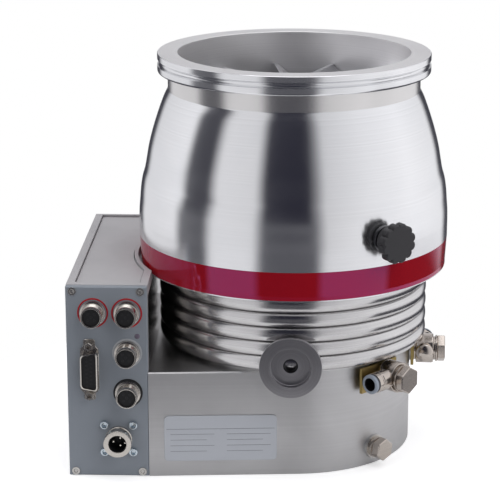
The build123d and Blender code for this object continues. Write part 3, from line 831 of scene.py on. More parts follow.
@dataclass
class BellAndBand:
    """The bell housing with its clamp flange, and the red band round its foot.

    Attributes:
        wall: outer wall from the neck down to the band, as (radius, level) points.
        groove_depth: depth of the groove in the flange's rim.
        groove_width: width of that groove.
        lip: thickness of the flange above the groove.
        rim_thickness: thickness of the whole flange.
        throat_radius: radius of the inlet.
        chamber_radius: radius of the room round the first rotor stage.
        chamber_drop: how far that room starts below the flange's face.
        stack_radius: radius of the bore that holds the stator rings.
        stack_drop: how far that bore starts below the flange's face.
        seat_level: level of the seat on the finned housing.
        skirt_radius: inner radius of the skirt below the seat.
        edge: rounding of the inlet's edge.
        lip_rounding: rounding of the flange's upper edge.
        bead_rounding: rounding of its lower edges.
        bed_inset: how far the band's bed lies inside the band's face.
        band_inset: how far the band's own inside lies inside its face.
        foot_inset: how far the foot lies inside the band's face.
        sides: facets round the axis.
    """

    wall: list[Point] = field(default_factory=lambda: [
        (83.2, 241.0), (85.9, 235.6), (88.9, 227.7), (91.8, 219.0), (94.2, 210.8), (96.2, 202.6),
        (97.6, 194.6), (98.9, 187.6), (100.6, 181.6), (101.7, 175.0), (102.3, 168.0), (102.9, 161.0),
        (103.1, 155.0),
    ])
    groove_depth: float = 2.4
    groove_width: float = 4.0
    lip: float = 3.8
    rim_thickness: float = 12.5
    throat_radius: float = 76.5
    chamber_radius: float = 77.2
    chamber_drop: float = 20.0
    stack_radius: float = 84.05
    stack_drop: float = 47.0
    seat_level: float = 132.0
    skirt_radius: float = 98.2
    edge: float = 0.6
    lip_rounding: float = 0.7
    bead_rounding: float = 1.6
    bed_inset: float = 1.0
    band_inset: float = 0.95
    foot_inset: float = 1.1
    sides: int = 224

    def outline(self) -> list[Point]:
        """Draws the housing's section.

        Returns:
            Its closed outline as (radius, level) points.
        """
        low, high = node_box("bell_housing")
        band_low, band_high = node_box("accent_band")
        top, rim = high.z, mount_radius("inlet_rim")
        lip_foot = top - self.lip
        groove_foot = lip_foot - self.groove_width
        rim_foot = top - self.rim_thickness
        groove = []
        for step in range(GROOVE_STEPS + 1):
            turn = math.pi * step / GROOVE_STEPS
            level = groove_foot + self.groove_width * (1 + math.cos(turn)) / 2
            groove.append((rim - self.groove_depth * math.sin(turn), level))
        lip = [(self.throat_radius, top), (rim, top), (rim, lip_foot)]
        lip = softened(lip, self.lip_rounding, 3, closed=False)
        bead = [(rim, groove_foot), (rim, rim_foot), (self.wall[0][0], rim_foot)]
        bead = softened(bead, self.bead_rounding, 4, closed=False)
        foot = [
            (self.wall[-1][0], band_high.z),
            (band_high.x - self.bed_inset, band_high.z),
            (band_high.x - self.bed_inset, band_low.z),
            (band_high.x - self.foot_inset, band_low.z),
            (band_high.x - self.foot_inset, low.z),
            (self.skirt_radius, low.z),
            (self.skirt_radius, self.seat_level),
            (self.stack_radius, self.seat_level),
            (self.stack_radius, top - self.stack_drop),
            (self.chamber_radius, top - self.stack_drop),
            (self.chamber_radius, top - self.chamber_drop),
            (self.throat_radius, top - self.chamber_drop),
        ]
        mouth = softened([foot[-1], (self.throat_radius, top), (rim, top)], self.edge, 3, closed=False)
        return [*mouth[1:-1], *lip[1:-1], *groove, *bead[1:], *smooth_through(self.wall), *foot]

    def build(self) -> None:
        """Builds the housing and the band."""
        bell = Shape("bell_wall")
        bell.turn(self.outline(), UPRIGHT, self.sides)
        piece = bell.done(BELL_METAL, "bell_metal", "bell_housing")
        second_finish(piece, INLET_METAL, UPRIGHT, lining_within(self.stack_radius + LINING_MARGIN))
        second_finish(piece, NECK_METAL, UPRIGHT, wall_within(self.wall[0][0] + WALL_MARGIN))
        low, high = node_box("accent_band")
        bed = high.x - self.band_inset
        section = [(bed, low.z), (high.x - self.foot_inset, low.z), (high.x, high.z), (bed, high.z)]
        band = Shape("red_band")
        band.turn(section, UPRIGHT, self.sides, soft=0.25)
        band.done(BAND_RED, "band_red", "accent_band")


@dataclass
class FinnedHousing:
    """The housing with the stacked cooling ridges, between the base and the bell.

    Attributes:
        first_ridge: level of the lowest ridge's foot.
        pitch: distance from ridge to ridge.
        count: number of ridges.
        crest: radius of a ridge's crest.
        root: radius where a ridge's flanks start.
        valley: how much narrower the valleys between the ridges are.
        lead: height of the slope below the lowest ridge.
        waist: radius below the lowest ridge.
        skirt: radius of the part that sits in the base.
        bore: radius of the bore.
        flange: radius of the upper flange.
        flange_thickness: thickness of that flange.
        fullness: power that makes a ridge fuller than a half circle.
    """

    first_ridge: float = 73.6
    pitch: float = 9.7
    count: int = 5
    crest: float = 90.0
    root: float = 86.4
    valley: float = 0.5
    lead: float = 0.3
    waist: float = 82.0
    skirt: float = 76.0
    bore: float = 62.6
    flange: float = 98.0
    flange_thickness: float = 7.0
    fullness: float = 0.6

    def ridge(self, foot: float) -> list[Point]:
        """Draws one ridge.

        Args:
            foot: level of its foot.

        Returns:
            Its outer outline from the foot upwards.
        """
        points = []
        for step in range(1, RIDGE_STEPS + 1):
            turn = math.pi * step / (RIDGE_STEPS + 1)
            swell = math.sin(turn) ** self.fullness
            level = foot + self.pitch * (1 - math.cos(turn)) / 2
            points.append((self.root + (self.crest - self.root) * swell, level))
        return points

    def build(self) -> None:
        """Builds the housing."""
        low, high = node_box("finned_housing")
        base_top = node_box("base_housing")[1].z
        flange_foot = high.z - self.flange_thickness
        valley = self.root - self.valley
        outline = [
            (self.bore, low.z),
            (self.skirt, low.z),
            (self.skirt, base_top),
            (self.waist, base_top),
            (self.waist, self.first_ridge - self.lead),
            (valley, self.first_ridge),
        ]
        for index in range(self.count):
            foot = self.first_ridge + index * self.pitch
            outline += [*self.ridge(foot), (valley, foot + self.pitch)]
        outline += [(valley, flange_foot), (self.flange, flange_foot)]
        outline += [(self.flange, high.z), (self.bore, high.z)]
        housing = Shape("finned_wall", crease=40)
        housing.turn(outline, UPRIGHT, 200)
        housing.done(FIN_METAL, "fin_metal", "finned_housing")


@dataclass(frozen=True)
class Stage:
    """One stage of rotor blades.

    Attributes:
        foot: level of the blades' lower edge.
        height: height of the blades.
        count: number of blades.
        root_angle: the blades' angle to the turning plane at the hub, in degrees.
        tip_angle: the same at the tip.
    """

    foot: float
    height: float
    count: int
    root_angle: float
    tip_angle: float


@dataclass
class RotorUnit:
    """The bladed rotor with its shaft, and the stator rings between its stages.

    Attributes:
        stages: the stages from the inlet downwards.
        thickness: thickness of a blade at its root.
        thinning: share of that thickness that is lost towards the tip.
        stations: number of sections along a blade.
        root: radius where the blades start.
        hub: radius of the hub.
        tip: radius of the blades' tips.
        skirt: outer radius of the drum below the stages.
        skirt_bore: its inner radius.
        skirt_foot: level of its foot.
        skirt_top: level of its top.
        web: level of the web's underside between hub and drum.
        hub_bore: radius of the hollow below the hub.
        hub_floor: how far that hollow ends below the hub's top.
        dish: radius of the dish in the hub's top.
        dish_depth: depth of the dish.
        shaft_bore: radius of the hole for the shaft.
        screw_circle: radius of the ring of screws in the dish.
        screws: number of those screws.
        screw_head: a screw head's (radius, level) outline.
    """

    stages: tuple[Stage, ...] = (
        Stage(221.0, 22.0, 12, 52.0, 38.0), Stage(185.0, 15.0, 12, 44.0, 32.0),
        Stage(156.0, 12.0, 16, 38.0, 26.0), Stage(135.0, 7.0, 16, 30.0, 20.0),
    )
    thickness: float = 2.2
    thinning: float = 0.35
    stations: int = 9
    root: float = 36.0
    hub: float = 38.0
    tip: float = 76.3
    skirt: float = 62.0
    skirt_bore: float = 58.0
    skirt_foot: float = 90.0
    skirt_top: float = 132.0
    web: float = 126.0
    hub_bore: float = 33.5
    hub_floor: float = 11.0
    dish: float = 31.0
    dish_depth: float = 3.0
    shaft_bore: float = 8.05
    screw_circle: float = 16.5
    screws: int = 6
    screw_head: tuple[Point, ...] = ((0, 0), (4.2, 0), (4.2, 2.4), (2.2, 2.4), (2.2, 0.8), (0, 0.8))

    def blade(self, stage: Stage, turn: float) -> list[list[Vector]]:
        """Draws one twisted blade.

        Args:
            stage: the blade's stage.
            turn: its place round the axis, in radians.

        Returns:
            Rings of points from the root to the tip.
        """
        sections = []
        for index in range(self.stations):
            share = index / (self.stations - 1)
            angle = math.radians(stage.root_angle + (stage.tip_angle - stage.root_angle) * share)
            lean = stage.height / math.tan(angle) / 2
            half = self.thickness * (1 - self.thinning * share) / math.sin(angle) / 2
            reach = self.root + (self.tip - self.root) * share
            ring = []
            corners = ((0, -lean - half), (0, -lean + half), (1, lean + half), (1, lean - half))
            for level, sideways in corners:
                distance = math.sqrt(max(reach * reach - sideways * sideways, 1.0))
                point = Vector((distance, sideways, stage.foot + stage.height * level))
                ring.append(Matrix.Rotation(turn, 4, "Z") @ point)
            sections.append(ring)
        return sections

    def build(self) -> None:
        """Builds the rotor and dresses the shaft and the stator rings."""
        rotor = Shape("bladed_rotor", crease=30)
        for stage in self.stages:
            for index in range(stage.count):
                rotor.shell(self.blade(stage, math.tau * index / stage.count))
        top = node_box("rotor")[1].z
        floor = top - self.dish_depth
        hub = [
            (self.hub_bore, self.web), (self.skirt_bore, self.web), (self.skirt_bore, self.skirt_foot),
            (self.skirt, self.skirt_foot), (self.skirt, self.skirt_top), (self.hub, self.skirt_top),
            (self.hub, top), (self.dish, top), (self.dish, floor), (self.shaft_bore, floor),
            (self.shaft_bore, top - self.hub_floor), (self.hub_bore, top - self.hub_floor),
        ]
        rotor.turn(hub, UPRIGHT, 128, soft=0.5)
        rotor.done(BLADE_METAL, "blade_metal", "rotor", body="rotor_unit")
        screws = Shape("rotor_screws")
        for x, y in regular(self.screws, self.screw_circle):
            place = Matrix.Translation((x, y, floor))
            screws.turn(self.screw_head, place, 32, closed=False, soft=0.4)
        screws.done(SCREW_STEEL, "shaft_steel", body="rotor_unit")
        dress(COVER_METAL, "shaft", "bearing_column")
        dress(BLADE_METAL, "stator_ring_1", "stator_ring_2", "stator_ring_3")


@dataclass
class ForelinePort:
    """The small clamp flange of the fore-line port.

    Attributes:
        rim: thickness of the flange's rim.
        taper: angle of the flange's back, in degrees.
        neck: radius of the neck.
        recess: radius of the recess in the face.
        recess_depth: depth of the recess.
        hole: radius of the hole in its floor.
        sink_depth: depth of the bevel round the hole.
        sink_width: width of that bevel.
        floor: thickness of metal behind the hole.
        length: length of the whole port.
    """

    rim: float = 3.0
    taper: float = 15.0
    neck: float = 13.0
    recess: float = 13.0
    recess_depth: float = 4.5
    hole: float = 4.0
    sink_depth: float = 0.2
    sink_width: float = 0.5
    floor: float = 2.0
    length: float = 30.0

    def build(self) -> None:
        """Builds the port."""
        place, axis = mount_place("foreline_flange")
        low = node_box("foreline_port")[0]
        face = turned_to(Vector((place.x, low.y, place.z)), -axis)
        radius = mount_radius("foreline_flange")
        taper = (radius - self.neck) * math.tan(math.radians(self.taper))
        outline = [
            (0, self.length - self.floor),
            (self.hole, self.length - self.floor),
            (self.hole, self.recess_depth + self.sink_depth),
            (self.hole + self.sink_width, self.recess_depth),
            (self.recess, self.recess_depth),
            (self.recess, 0.0),
            (radius, 0.0),
            (radius, self.rim),
            (self.neck, self.rim + taper),
            (self.neck, self.length),
            (0, self.length),
        ]
        port = Shape("foreline_flange_disc")
        port.turn(outline, face, 112, closed=False, soft=0.4, steps=3)
        piece = port.done(PORT_STEEL, "port_metal", "foreline_port")
        # The bore's inside takes a near-black finish as painted shade, so the hole reads dark
        second_finish(piece, PAINTED_SHADE_BORE, face, lining_within(self.hole + LINING_MARGIN))


@dataclass
class VentValve:
    """The venting valve with its black knob; its levels are distances from the pump's axis.

    Attributes:
        seal: (inner radius, outer radius, foot, top) of the seal ring.
        stem: radius of the knob's stem.
        stem_foot: level where the stem starts.
        grip: radius of the knob's collar.
        grip_foot: level of the collar's foot.
        grip_top: level of the collar's top.
        grip_bevel: width of the bevels on the collar.
        head: radius over the lobes.
        head_foot: level of the head's foot.
        head_height: height of the head.
        lobes: number of lobes.
        lobe_depth: depth of the hollows between them.
        lobe_fullness: power that makes a lobe fuller than a wave.
        lobe_steps: short sides that draw one lobe.
    """

    seal: tuple[float, float, float, float] = (4.1, 7.5, 104.0, 106.0)
    stem: float = 4.0
    stem_foot: float = 90.2
    grip: float = 9.8
    grip_foot: float = 106.1
    grip_top: float = 111.9
    grip_bevel: float = 0.6
    head: float = 13.0
    head_foot: float = 111.7
    head_height: float = 5.9
    lobes: int = 12
    lobe_depth: float = 1.5
    lobe_fullness: float = 0.7
    lobe_steps: int = 10

    def build(self) -> None:
        """Builds the knob and its seal."""
        middle, axis = joint_place("vent_turn")
        place = turned_to(Vector((0, 0, middle.z)), axis)
        seal = Shape("vent_seal_ring")
        seal.turn(band_outline(*self.seal), place, 48, soft=0.6, steps=3)
        seal.done(SEAL_RUBBER, "seal_black", "vent_seal", body="vent_seal")
        knob = Shape("vent_knob_body", crease=36)
        inner = self.grip - self.grip_bevel
        stem = [
            (0, self.stem_foot), (self.stem, self.stem_foot), (self.stem, self.grip_foot),
            (inner, self.grip_foot), (self.grip, self.grip_foot + self.grip_bevel),
            (self.grip, self.grip_top - 0.5), (inner, self.grip_top), (0, self.grip_top),
        ]
        knob.turn(stem, place, 64, closed=False, soft=0.5)
        outline = []
        steps = self.lobes * self.lobe_steps
        for index in range(steps):
            turn = math.tau * index / steps
            wave = abs(math.sin(turn * self.lobes / 2)) ** self.lobe_fullness
            reach = self.head - self.lobe_depth + self.lobe_depth * wave
            outline.append((reach * math.cos(turn), reach * math.sin(turn)))
        knob.push(outline, along(place, self.head_foot), self.head_height, 0.9)
        knob.done(KNOB_PLASTIC, "knob_black", "vent_knob", body="vent_knob")
        dress(DARK_STEEL, "vent_seat")


class Side(Enum):
    """The two cooling-water fittings and the hand of their tube port."""

    FRONT = ("front", -1)
    REAR = ("rear", 1)


@dataclass
class CoolingFitting:
    """One push-in elbow with its banjo bolt and washers.

    Attributes:
        side: which of the two it is.
        base: distance of the base's wall from the pump's axis.
        plate: thickness of the brass plate.
        washer: thickness of a sealing washer.
        washer_radius: outer radius of a washer.
        washer_bore: radius of its bore.
        gap: play on each side of the elbow's ring.
        ring_bore: radius of the ring's bore.
        ring_radius: outer radius of the ring.
        ring_width: width of the ring.
        tube_root: distance from the ring's axis where the tube port starts.
        tube_radius: outer radius of the tube port.
        tube_end: distance of its mouth from the ring's axis.
        tube_bore: radius of its bore.
        tube_groove: corners of its mouth and its groove, as distances inside its radius and its mouth.
        boss_radius: radius of the closed boss opposite the tube port.
        boss_reach: how far the boss reaches.
        boss_dome: height of its rounded end.
        sleeve: (radius, distance from the ring's axis) outline of the release sleeve.
        sleeve_shade_radius: radius within which the sleeve's inside is painted black, as painted shade in the
            tube's bore.
        collar: radius of the bolt's collar.
        collar_height: thickness of the collar.
        hexagon: width over the flats of the bolt's head.
        head_height: height of the head.
        shank: radius of the bolt's shank.
        shank_depth: how far the shank goes into the base.
    """

    side: Side
    base: float = 80.6
    plate: float = 2.0
    washer: float = 1.4
    washer_radius: float = 8.0
    washer_bore: float = 4.9
    gap: float = 0.1
    ring_bore: float = 4.88
    ring_radius: float = 10.0
    ring_width: float = 11.8
    tube_root: float = 7.2
    tube_radius: float = 6.7
    tube_end: float = 20.5
    tube_bore: float = 4.9
    tube_groove: tuple[Point, ...] = ((0.1, 0.0), (0.0, 3.2), (0.5, 3.6), (0.5, 4.6), (0.0, 5.0))
    boss_radius: float = 6.2
    boss_reach: float = 13.5
    boss_dome: float = 2.6
    sleeve: tuple[Point, ...] = (
        (4.05, 12.95), (4.8, 12.95), (4.8, 21.9), (6.4, 21.9), (6.4, 23.5), (5.9, 24.1), (4.5, 24.1),
        (4.05, 23.1),
    )
    sleeve_shade_radius: float = 4.4
    collar: float = 9.0
    collar_height: float = 1.2
    hexagon: float = 16.0
    head_height: float = 5.2
    shank: float = 4.75
    shank_depth: float = 11.0

    def build(self) -> None:
        """Builds the elbow, its release sleeve and its bolt."""
        name, hand = self.side.value
        centre, axis = joint_place(f"elbow_{name}_swivel")
        foot = turned_to(centre - axis * (centre.xy.length - self.base), axis)
        ring_foot = self.plate + self.washer + self.gap
        middle = along(foot, ring_foot + self.ring_width / 2)
        sideways = (middle.to_3x3() @ Vector((1, 0, 0))) * hand
        port = turned_to(middle.translation, sideways)
        elbow = Shape(f"elbow_{name}_body")
        ring = band_outline(self.ring_bore, self.ring_radius, 0, self.ring_width)
        elbow.turn(ring, along(foot, ring_foot), 72, soft=0.8, steps=3)
        tube = [
            (self.tube_bore, self.tube_end),
            *((self.tube_radius - inset, self.tube_end - back) for inset, back in self.tube_groove),
            (self.tube_radius, self.tube_root),
            (self.tube_bore, self.tube_root),
        ]
        elbow.turn(tube, port, 64, soft=0.4)
        shoulder = self.boss_reach - self.boss_dome
        boss = [(0, self.tube_root), (self.boss_radius, self.tube_root), (self.boss_radius, shoulder)]
        boss += [
            (self.boss_radius * math.cos(turn), shoulder + self.boss_dome * math.sin(turn))
            for turn in (math.pi / 12 * step for step in range(1, 7))
        ]
        elbow.turn(boss, turned_to(middle.translation, -sideways), 56, closed=False)
        elbow.done(FITTING_NICKEL, "fitting_nickel", f"banjo_{name}", body=f"elbow_{name}")
        self.collet(port)
        self.bolt(foot, ring_foot)

    def collet(self, port: Matrix) -> None:
        """Builds the release sleeve.

        Args:
            port: the tube port's place, at the ring's axis.
        """
        name = self.side.value[0]
        collet = Shape(f"release_{name}_sleeve")
        collet.turn(self.sleeve, port, 56, soft=0.3)
        piece = collet.done(COLLET_PLASTIC, "collet_blue", f"collet_{name}", body=f"release_{name}")
        # The blue sleeve's inside takes the black finish: painted shade in the bore, where the sleeve only looks
        # dark
        second_finish(piece, BLACK_INSERT_AND_SHADE, port, lining_within(self.sleeve_shade_radius))

    def bolt(self, foot: Matrix, ring_foot: float) -> None:
        """Builds the banjo bolt and the washers.

        Args:
            foot: the place where the fitting stands on the base.
            ring_foot: how far out the elbow's ring starts.
        """
        outer = ring_foot + self.ring_width + self.gap
        head_foot = outer + self.washer
        bolt = Shape(f"banjo_bolt_{self.side.value[0]}")
        collar = band_outline(0, self.collar, 0, self.collar_height)
        bolt.turn(collar, along(foot, head_foot), 56, closed=False, soft=0.3)
        corners = softened(regular(6, self.hexagon / math.sqrt(3), math.pi / 2), 0.5, 2)
        bolt.push(corners, along(foot, head_foot + self.collar_height), self.head_height, 0.55)
        shank = band_outline(0, self.shank, -self.shank_depth, head_foot + OVERLAP)
        bolt.turn(shank, foot, 40, closed=False)
        for start in (self.plate, outer):
            washer = band_outline(self.washer_bore, self.washer_radius, 0, self.washer)
            bolt.turn(washer, along(foot, start), 56, soft=0.35)
        nodes = ("banjo_bolts", "banjo_washers") if self.side is Side.FRONT else ()
        bolt.done(FITTING_NICKEL, "fitting_nickel", *nodes)


@dataclass
class BaseGroup:
    """The base housing with its cover, rating plate, earth screw and the brass plates.

    Attributes:
        label_thickness: thickness of the label.
        label_corner: rounding of its corners.
        rule_rows: number of rules below the long one.
        rule_drop: distance of the long rule from the label's top.
        rows_drop: distance of the first row from the label's top.
        rule_pitch: distance from rule to rule.
        rule_width: thickness of a rule.
        head_rule_width: thickness of the long rule.
        rule_relief: how far the rules stand up.
        earth_size: width over the flats of the earth screw.
        earth_turn: turn of its head, in radians.
        earth_head: height of the head.
        earth_collar: thickness of the collar below the head.
        earth_radius: radius of the collar.
        earth_shank: radius of the shank.
        earth_length: length of the whole screw.
    """

    label_thickness: float = 0.8
    label_corner: float = 3.2
    rule_rows: int = 4
    rule_drop: float = 9.0
    rows_drop: float = 12.6
    rule_pitch: float = 3.9
    rule_width: float = 0.3
    head_rule_width: float = 0.35
    rule_relief: float = 0.05
    earth_size: float = 13.0
    earth_turn: float = 0.35
    earth_head: float = 6.5
    earth_collar: float = 2.6
    earth_radius: float = 6.9
    earth_shank: float = 3.95
    earth_length: float = 22.5

    def build(self) -> None:
        """Dresses the base and builds its small pieces."""
        dress(BASE_METAL, "base_housing")
        dress(COVER_METAL, "base_cover")
        dress(PLATE_BRASS, "cooling_plates")
        dress(SCREW_STEEL, "earth_washer")
        self.rating_label()
        self.earth_screw()

    def rating_label(self) -> None:
        """Builds the label with rounded corners and empty rules, and no words."""
        low, high = node_box("rating_plate")
        thickness = self.label_thickness
        flat = Vector((high.x - low.x, high.y - low.y - thickness, 0))
        sideways = flat.normalized()
        outward = Vector((sideways.y, -sideways.x, 0))
        width, height = flat.length - 0.1, high.z - low.z
        foot = Vector((low.x, low.y, low.z)) + sideways * flat.length / 2 - outward * thickness
        back = turned_to(foot + Vector((0, 0, height / 2)), outward)
        label = Shape("rating_label")
        label.push(softened(box_outline(width, height), self.label_corner, 5), back, thickness - 0.05, 0.15)
        label.done(LABEL_FACE, "label_silver", "rating_plate")
        face = along(back, thickness - 0.06)
        rules = Shape("rating_label_rules")
        head = beside(face, 0, height / 2 - self.rule_drop)
        rules.push(box_outline(width - 3, self.head_rule_width), head, self.rule_relief)
        longest = width / 2 - 8
        for column in (-width / 4, width / 4):
            for row in range(self.rule_rows):
                level = height / 2 - self.rows_drop - row * self.rule_pitch
                span = longest - 5 * (row % 2)
                place = beside(face, column - (longest - span) / 2, level)
                rules.push(box_outline(span, self.rule_width), place, self.rule_relief)
        rules.done(LABEL_RULE, "label_silver")

    def earth_screw(self) -> None:
        """Builds the earth screw."""
        place = turned_to(*mount_place("earth"))
        head, collar = -self.earth_head, -self.earth_head - self.earth_collar
        screw = Shape("earth_screw_head")
        screw.turn(band_outline(0, self.earth_radius, collar, head), place, 48, closed=False, soft=0.4)
        corners = regular(6, self.earth_size / math.sqrt(3), self.earth_turn)
        screw.push(softened(corners, 0.5, 2), along(place, head), self.earth_head, 0.7)
        shank = band_outline(0, self.earth_shank, -self.earth_length, collar + 0.1)
        screw.turn(shank, place, 32, closed=False)
        screw.done(FITTING_NICKEL, "steel", "earth_screw")


@dataclass
class DriveUnit:
    """The drive unit's case, its cover plate and its front panel.

    Attributes:
        screw_spacing: distance between the panel screws, across.
        screw_inset: distance of the panel screws from the panel's ends.
        screw_radius: radius of a screw's head.
        screw_height: height of a screw's head.
        sheet: thickness of the bright sheet on the case's side.
    """

    screw_spacing: float = 43.5
    screw_inset: float = 3.2
    screw_radius: float = 2.7
    screw_height: float = 0.7
    sheet: float = 0.25

    def build(self) -> None:
        """Dresses the case and builds the panel with its screws."""
        dress(CASE_PAINT, "drive_case", "drive_cover")
        dress(BOARD_LACQUER, "circuit_board")
        low, high = node_box("front_panel")
        width, depth, height = high - low
        face = turned_to(Vector(((low.x + high.x) / 2, low.y, 0)), OUT_OF_PANEL)
        panel = Shape("panel_plate")
        back = beside(along(face, -depth), 0, height / 2)
        panel.push(softened(box_outline(width, height), 0.6, 2), back, depth, 0.7)
        panel.done(PANEL_PAINT, "panel_grey", "front_panel")
        screws = Shape("panel_screws")
        for across in (-self.screw_spacing / 2, self.screw_spacing / 2):
            for level in (self.screw_inset, height - self.screw_inset):
                add_screw(screws, beside(face, across, level), self.screw_radius, self.screw_height)
        screws.done(SCREW_STEEL, "steel")
        self.side_sheet()

    def side_sheet(self) -> None:
        """Builds the bright sheet on the side of the case that faces the finned housing."""
        low, high = node_box("drive_case")
        foot = node_box("base_housing")[1].z + 0.5
        top = node_box("bell_housing")[0].z - 2.5
        middle = Vector((high.x, (low.y + high.y) / 2, (foot + top) / 2))
        sheet = Shape("case_side_sheet")
        outline = softened(box_outline(high.y - low.y - 2, top - foot), 1.0, 2)
        sheet.push(outline, turned_to(middle, Vector((1, 0, 0))), self.sheet)
        sheet.done(SHEET_METAL, "case_grey")


def add_screw(shape: Shape, place: Matrix, radius: float, height: float) -> None:
    """Adds a round screw head with a hollow drive.

    Args:
        shape: the drawing to add it to.
        place: where the head stands.
        radius: radius of the head.
        height: height of the head.
    """
    floor = height * 0.3
    head = [(0, 0), (radius, 0), (radius, height)]
    head += [(radius * 0.5, height), (radius * 0.42, floor), (0, floor)]
    shape.turn(head, place, 28, closed=False, soft=floor)


def on_panel(mount: str) -> Matrix:
    """Gives the place of a connector on the face of the front panel.

    Args:
        mount: name of the connector's mount.

    Returns:
        The place; its Z looks out of the panel and its Y is up.
    """
    tip, axis = mount_place(mount)
    return turned_to(Vector((tip.x, node_box("front_panel")[0].y, tip.z)), axis)


@dataclass
class RoundSockets:
    """The four round sockets on the panel, with their inserts and coloured rings.

    Attributes:
        flange: radius of a socket's flange.
        barrel: radius of its barrel.
        bore: radius of its bore.
        reach: how far it stands out.
        thread_foot: height where its thread starts.
        thread_depth: depth of its thread.
        thread_pitch: distance from one thread to the next.
        insert_drop: how far the insert lies inside the mouth.
        contact_circle: radius of the ring of contacts.
        well: (radius, height above the insert's face) outline of a contact well.
        key: width, height and depth of the insert's key.
        ring_height: thickness of a coloured ring.
        marks: mount, finish, inner and outer radius, and slot of each coloured ring.
    """

    flange: float = 8.2
    barrel: float = 6.9
    bore: float = 5.8
    reach: float = 11.0
    thread_foot: float = 3.2
    thread_depth: float = 0.45
    thread_pitch: float = 1.0
    insert_drop: float = 1.2
    contact_circle: float = 3.0
    well: tuple[Point, ...] = ((0.5, -0.3), (0.9, -0.05), (0.9, 0.12), (0.5, 0.12))
    key: Place = (1.2, 1.0, 0.9)
    ring_height: float = 0.25
    marks: tuple[tuple[str, Finish, float, float, str], ...] = (
        ("accessory_a", MARK_RED, 8.9, 9.9, "band_red"),
        ("accessory_b", MARK_RED, 8.9, 9.9, "band_red"),
        ("fieldbus", MARK_PALE, 8.3, 9.6, "case_grey"),
        ("serial", MARK_BLACK, 8.3, 9.5, "insert_black"),
    )

    def build(self) -> None:
        """Builds the shells, the inserts and the rings."""
        self.shells("accessory_socket_shells", "accessory_socket", "accessory_a", "accessory_b")
        self.shells("fieldbus_socket_shell", "fieldbus_socket", "fieldbus")
        self.shells("serial_socket_shell", "serial_socket", "serial")
        self.inserts()
        for mount, finish, inner, outer, slot in self.marks:
            ring = Shape(f"{mount}_marker_ring")
            ring.turn(band_outline(inner, outer, 0.0, self.ring_height), on_panel(mount), soft=0.08)
            ring.done(finish, slot)

    def shells(self, name: str, node: str, *mounts: str) -> None:
        """Builds sockets as one piece: flange, threaded barrel and smooth lead.

        Args:
            name: name of the piece.
            node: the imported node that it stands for.
            mounts: the mounts where the sockets stand.
        """
        outline = [(self.bore, 0.0), (self.flange, 0.0), (self.flange, 2.0), (self.barrel, 2.2)]
        level = self.thread_foot
        while level < self.reach - 3.0:
            root = (self.barrel - self.thread_depth, level + self.thread_pitch / 2)
            outline += [(self.barrel, level), root]
            level += self.thread_pitch
        outline += [(self.barrel, self.reach - 2.4), (self.barrel, self.reach), (self.bore, self.reach)]
        shell = Shape(name)
        for mount in mounts:
            shell.turn(outline, on_panel(mount), 64, soft=0.25)
        shell.done(SOCKET_NICKEL, "socket_nickel", node)

    def inserts(self) -> None:
        """Builds the black inserts with their contact wells and keys."""
        inserts = Shape("socket_insert_faces")
        contacts = Shape("socket_contact_wells")
        depth = self.reach - self.insert_drop
        radius = self.bore - 0.05
        well = [(reach, depth + level) for reach, level in self.well]
        key_width, key_height, key_depth = self.key
        for mount, *_ in self.marks:
            place = on_panel(mount)
            inserts.turn(band_outline(0, radius, 0.5, depth), place, 48, closed=False, soft=0.3)
            for x, y in [*regular(4, self.contact_circle, math.pi / 4), (0, 0)]:
                contacts.turn(well, beside(place, x, y), 16)
            key = along(beside(place, 0, self.bore - 0.6), depth - 0.2)
            contacts.push(box_outline(key_width, key_height), key, key_depth, 0.1)
        inserts.done(BLACK_INSERT_AND_SHADE, "insert_black", "socket_inserts")
        contacts.done(WELL_PLASTIC, "insert_black")


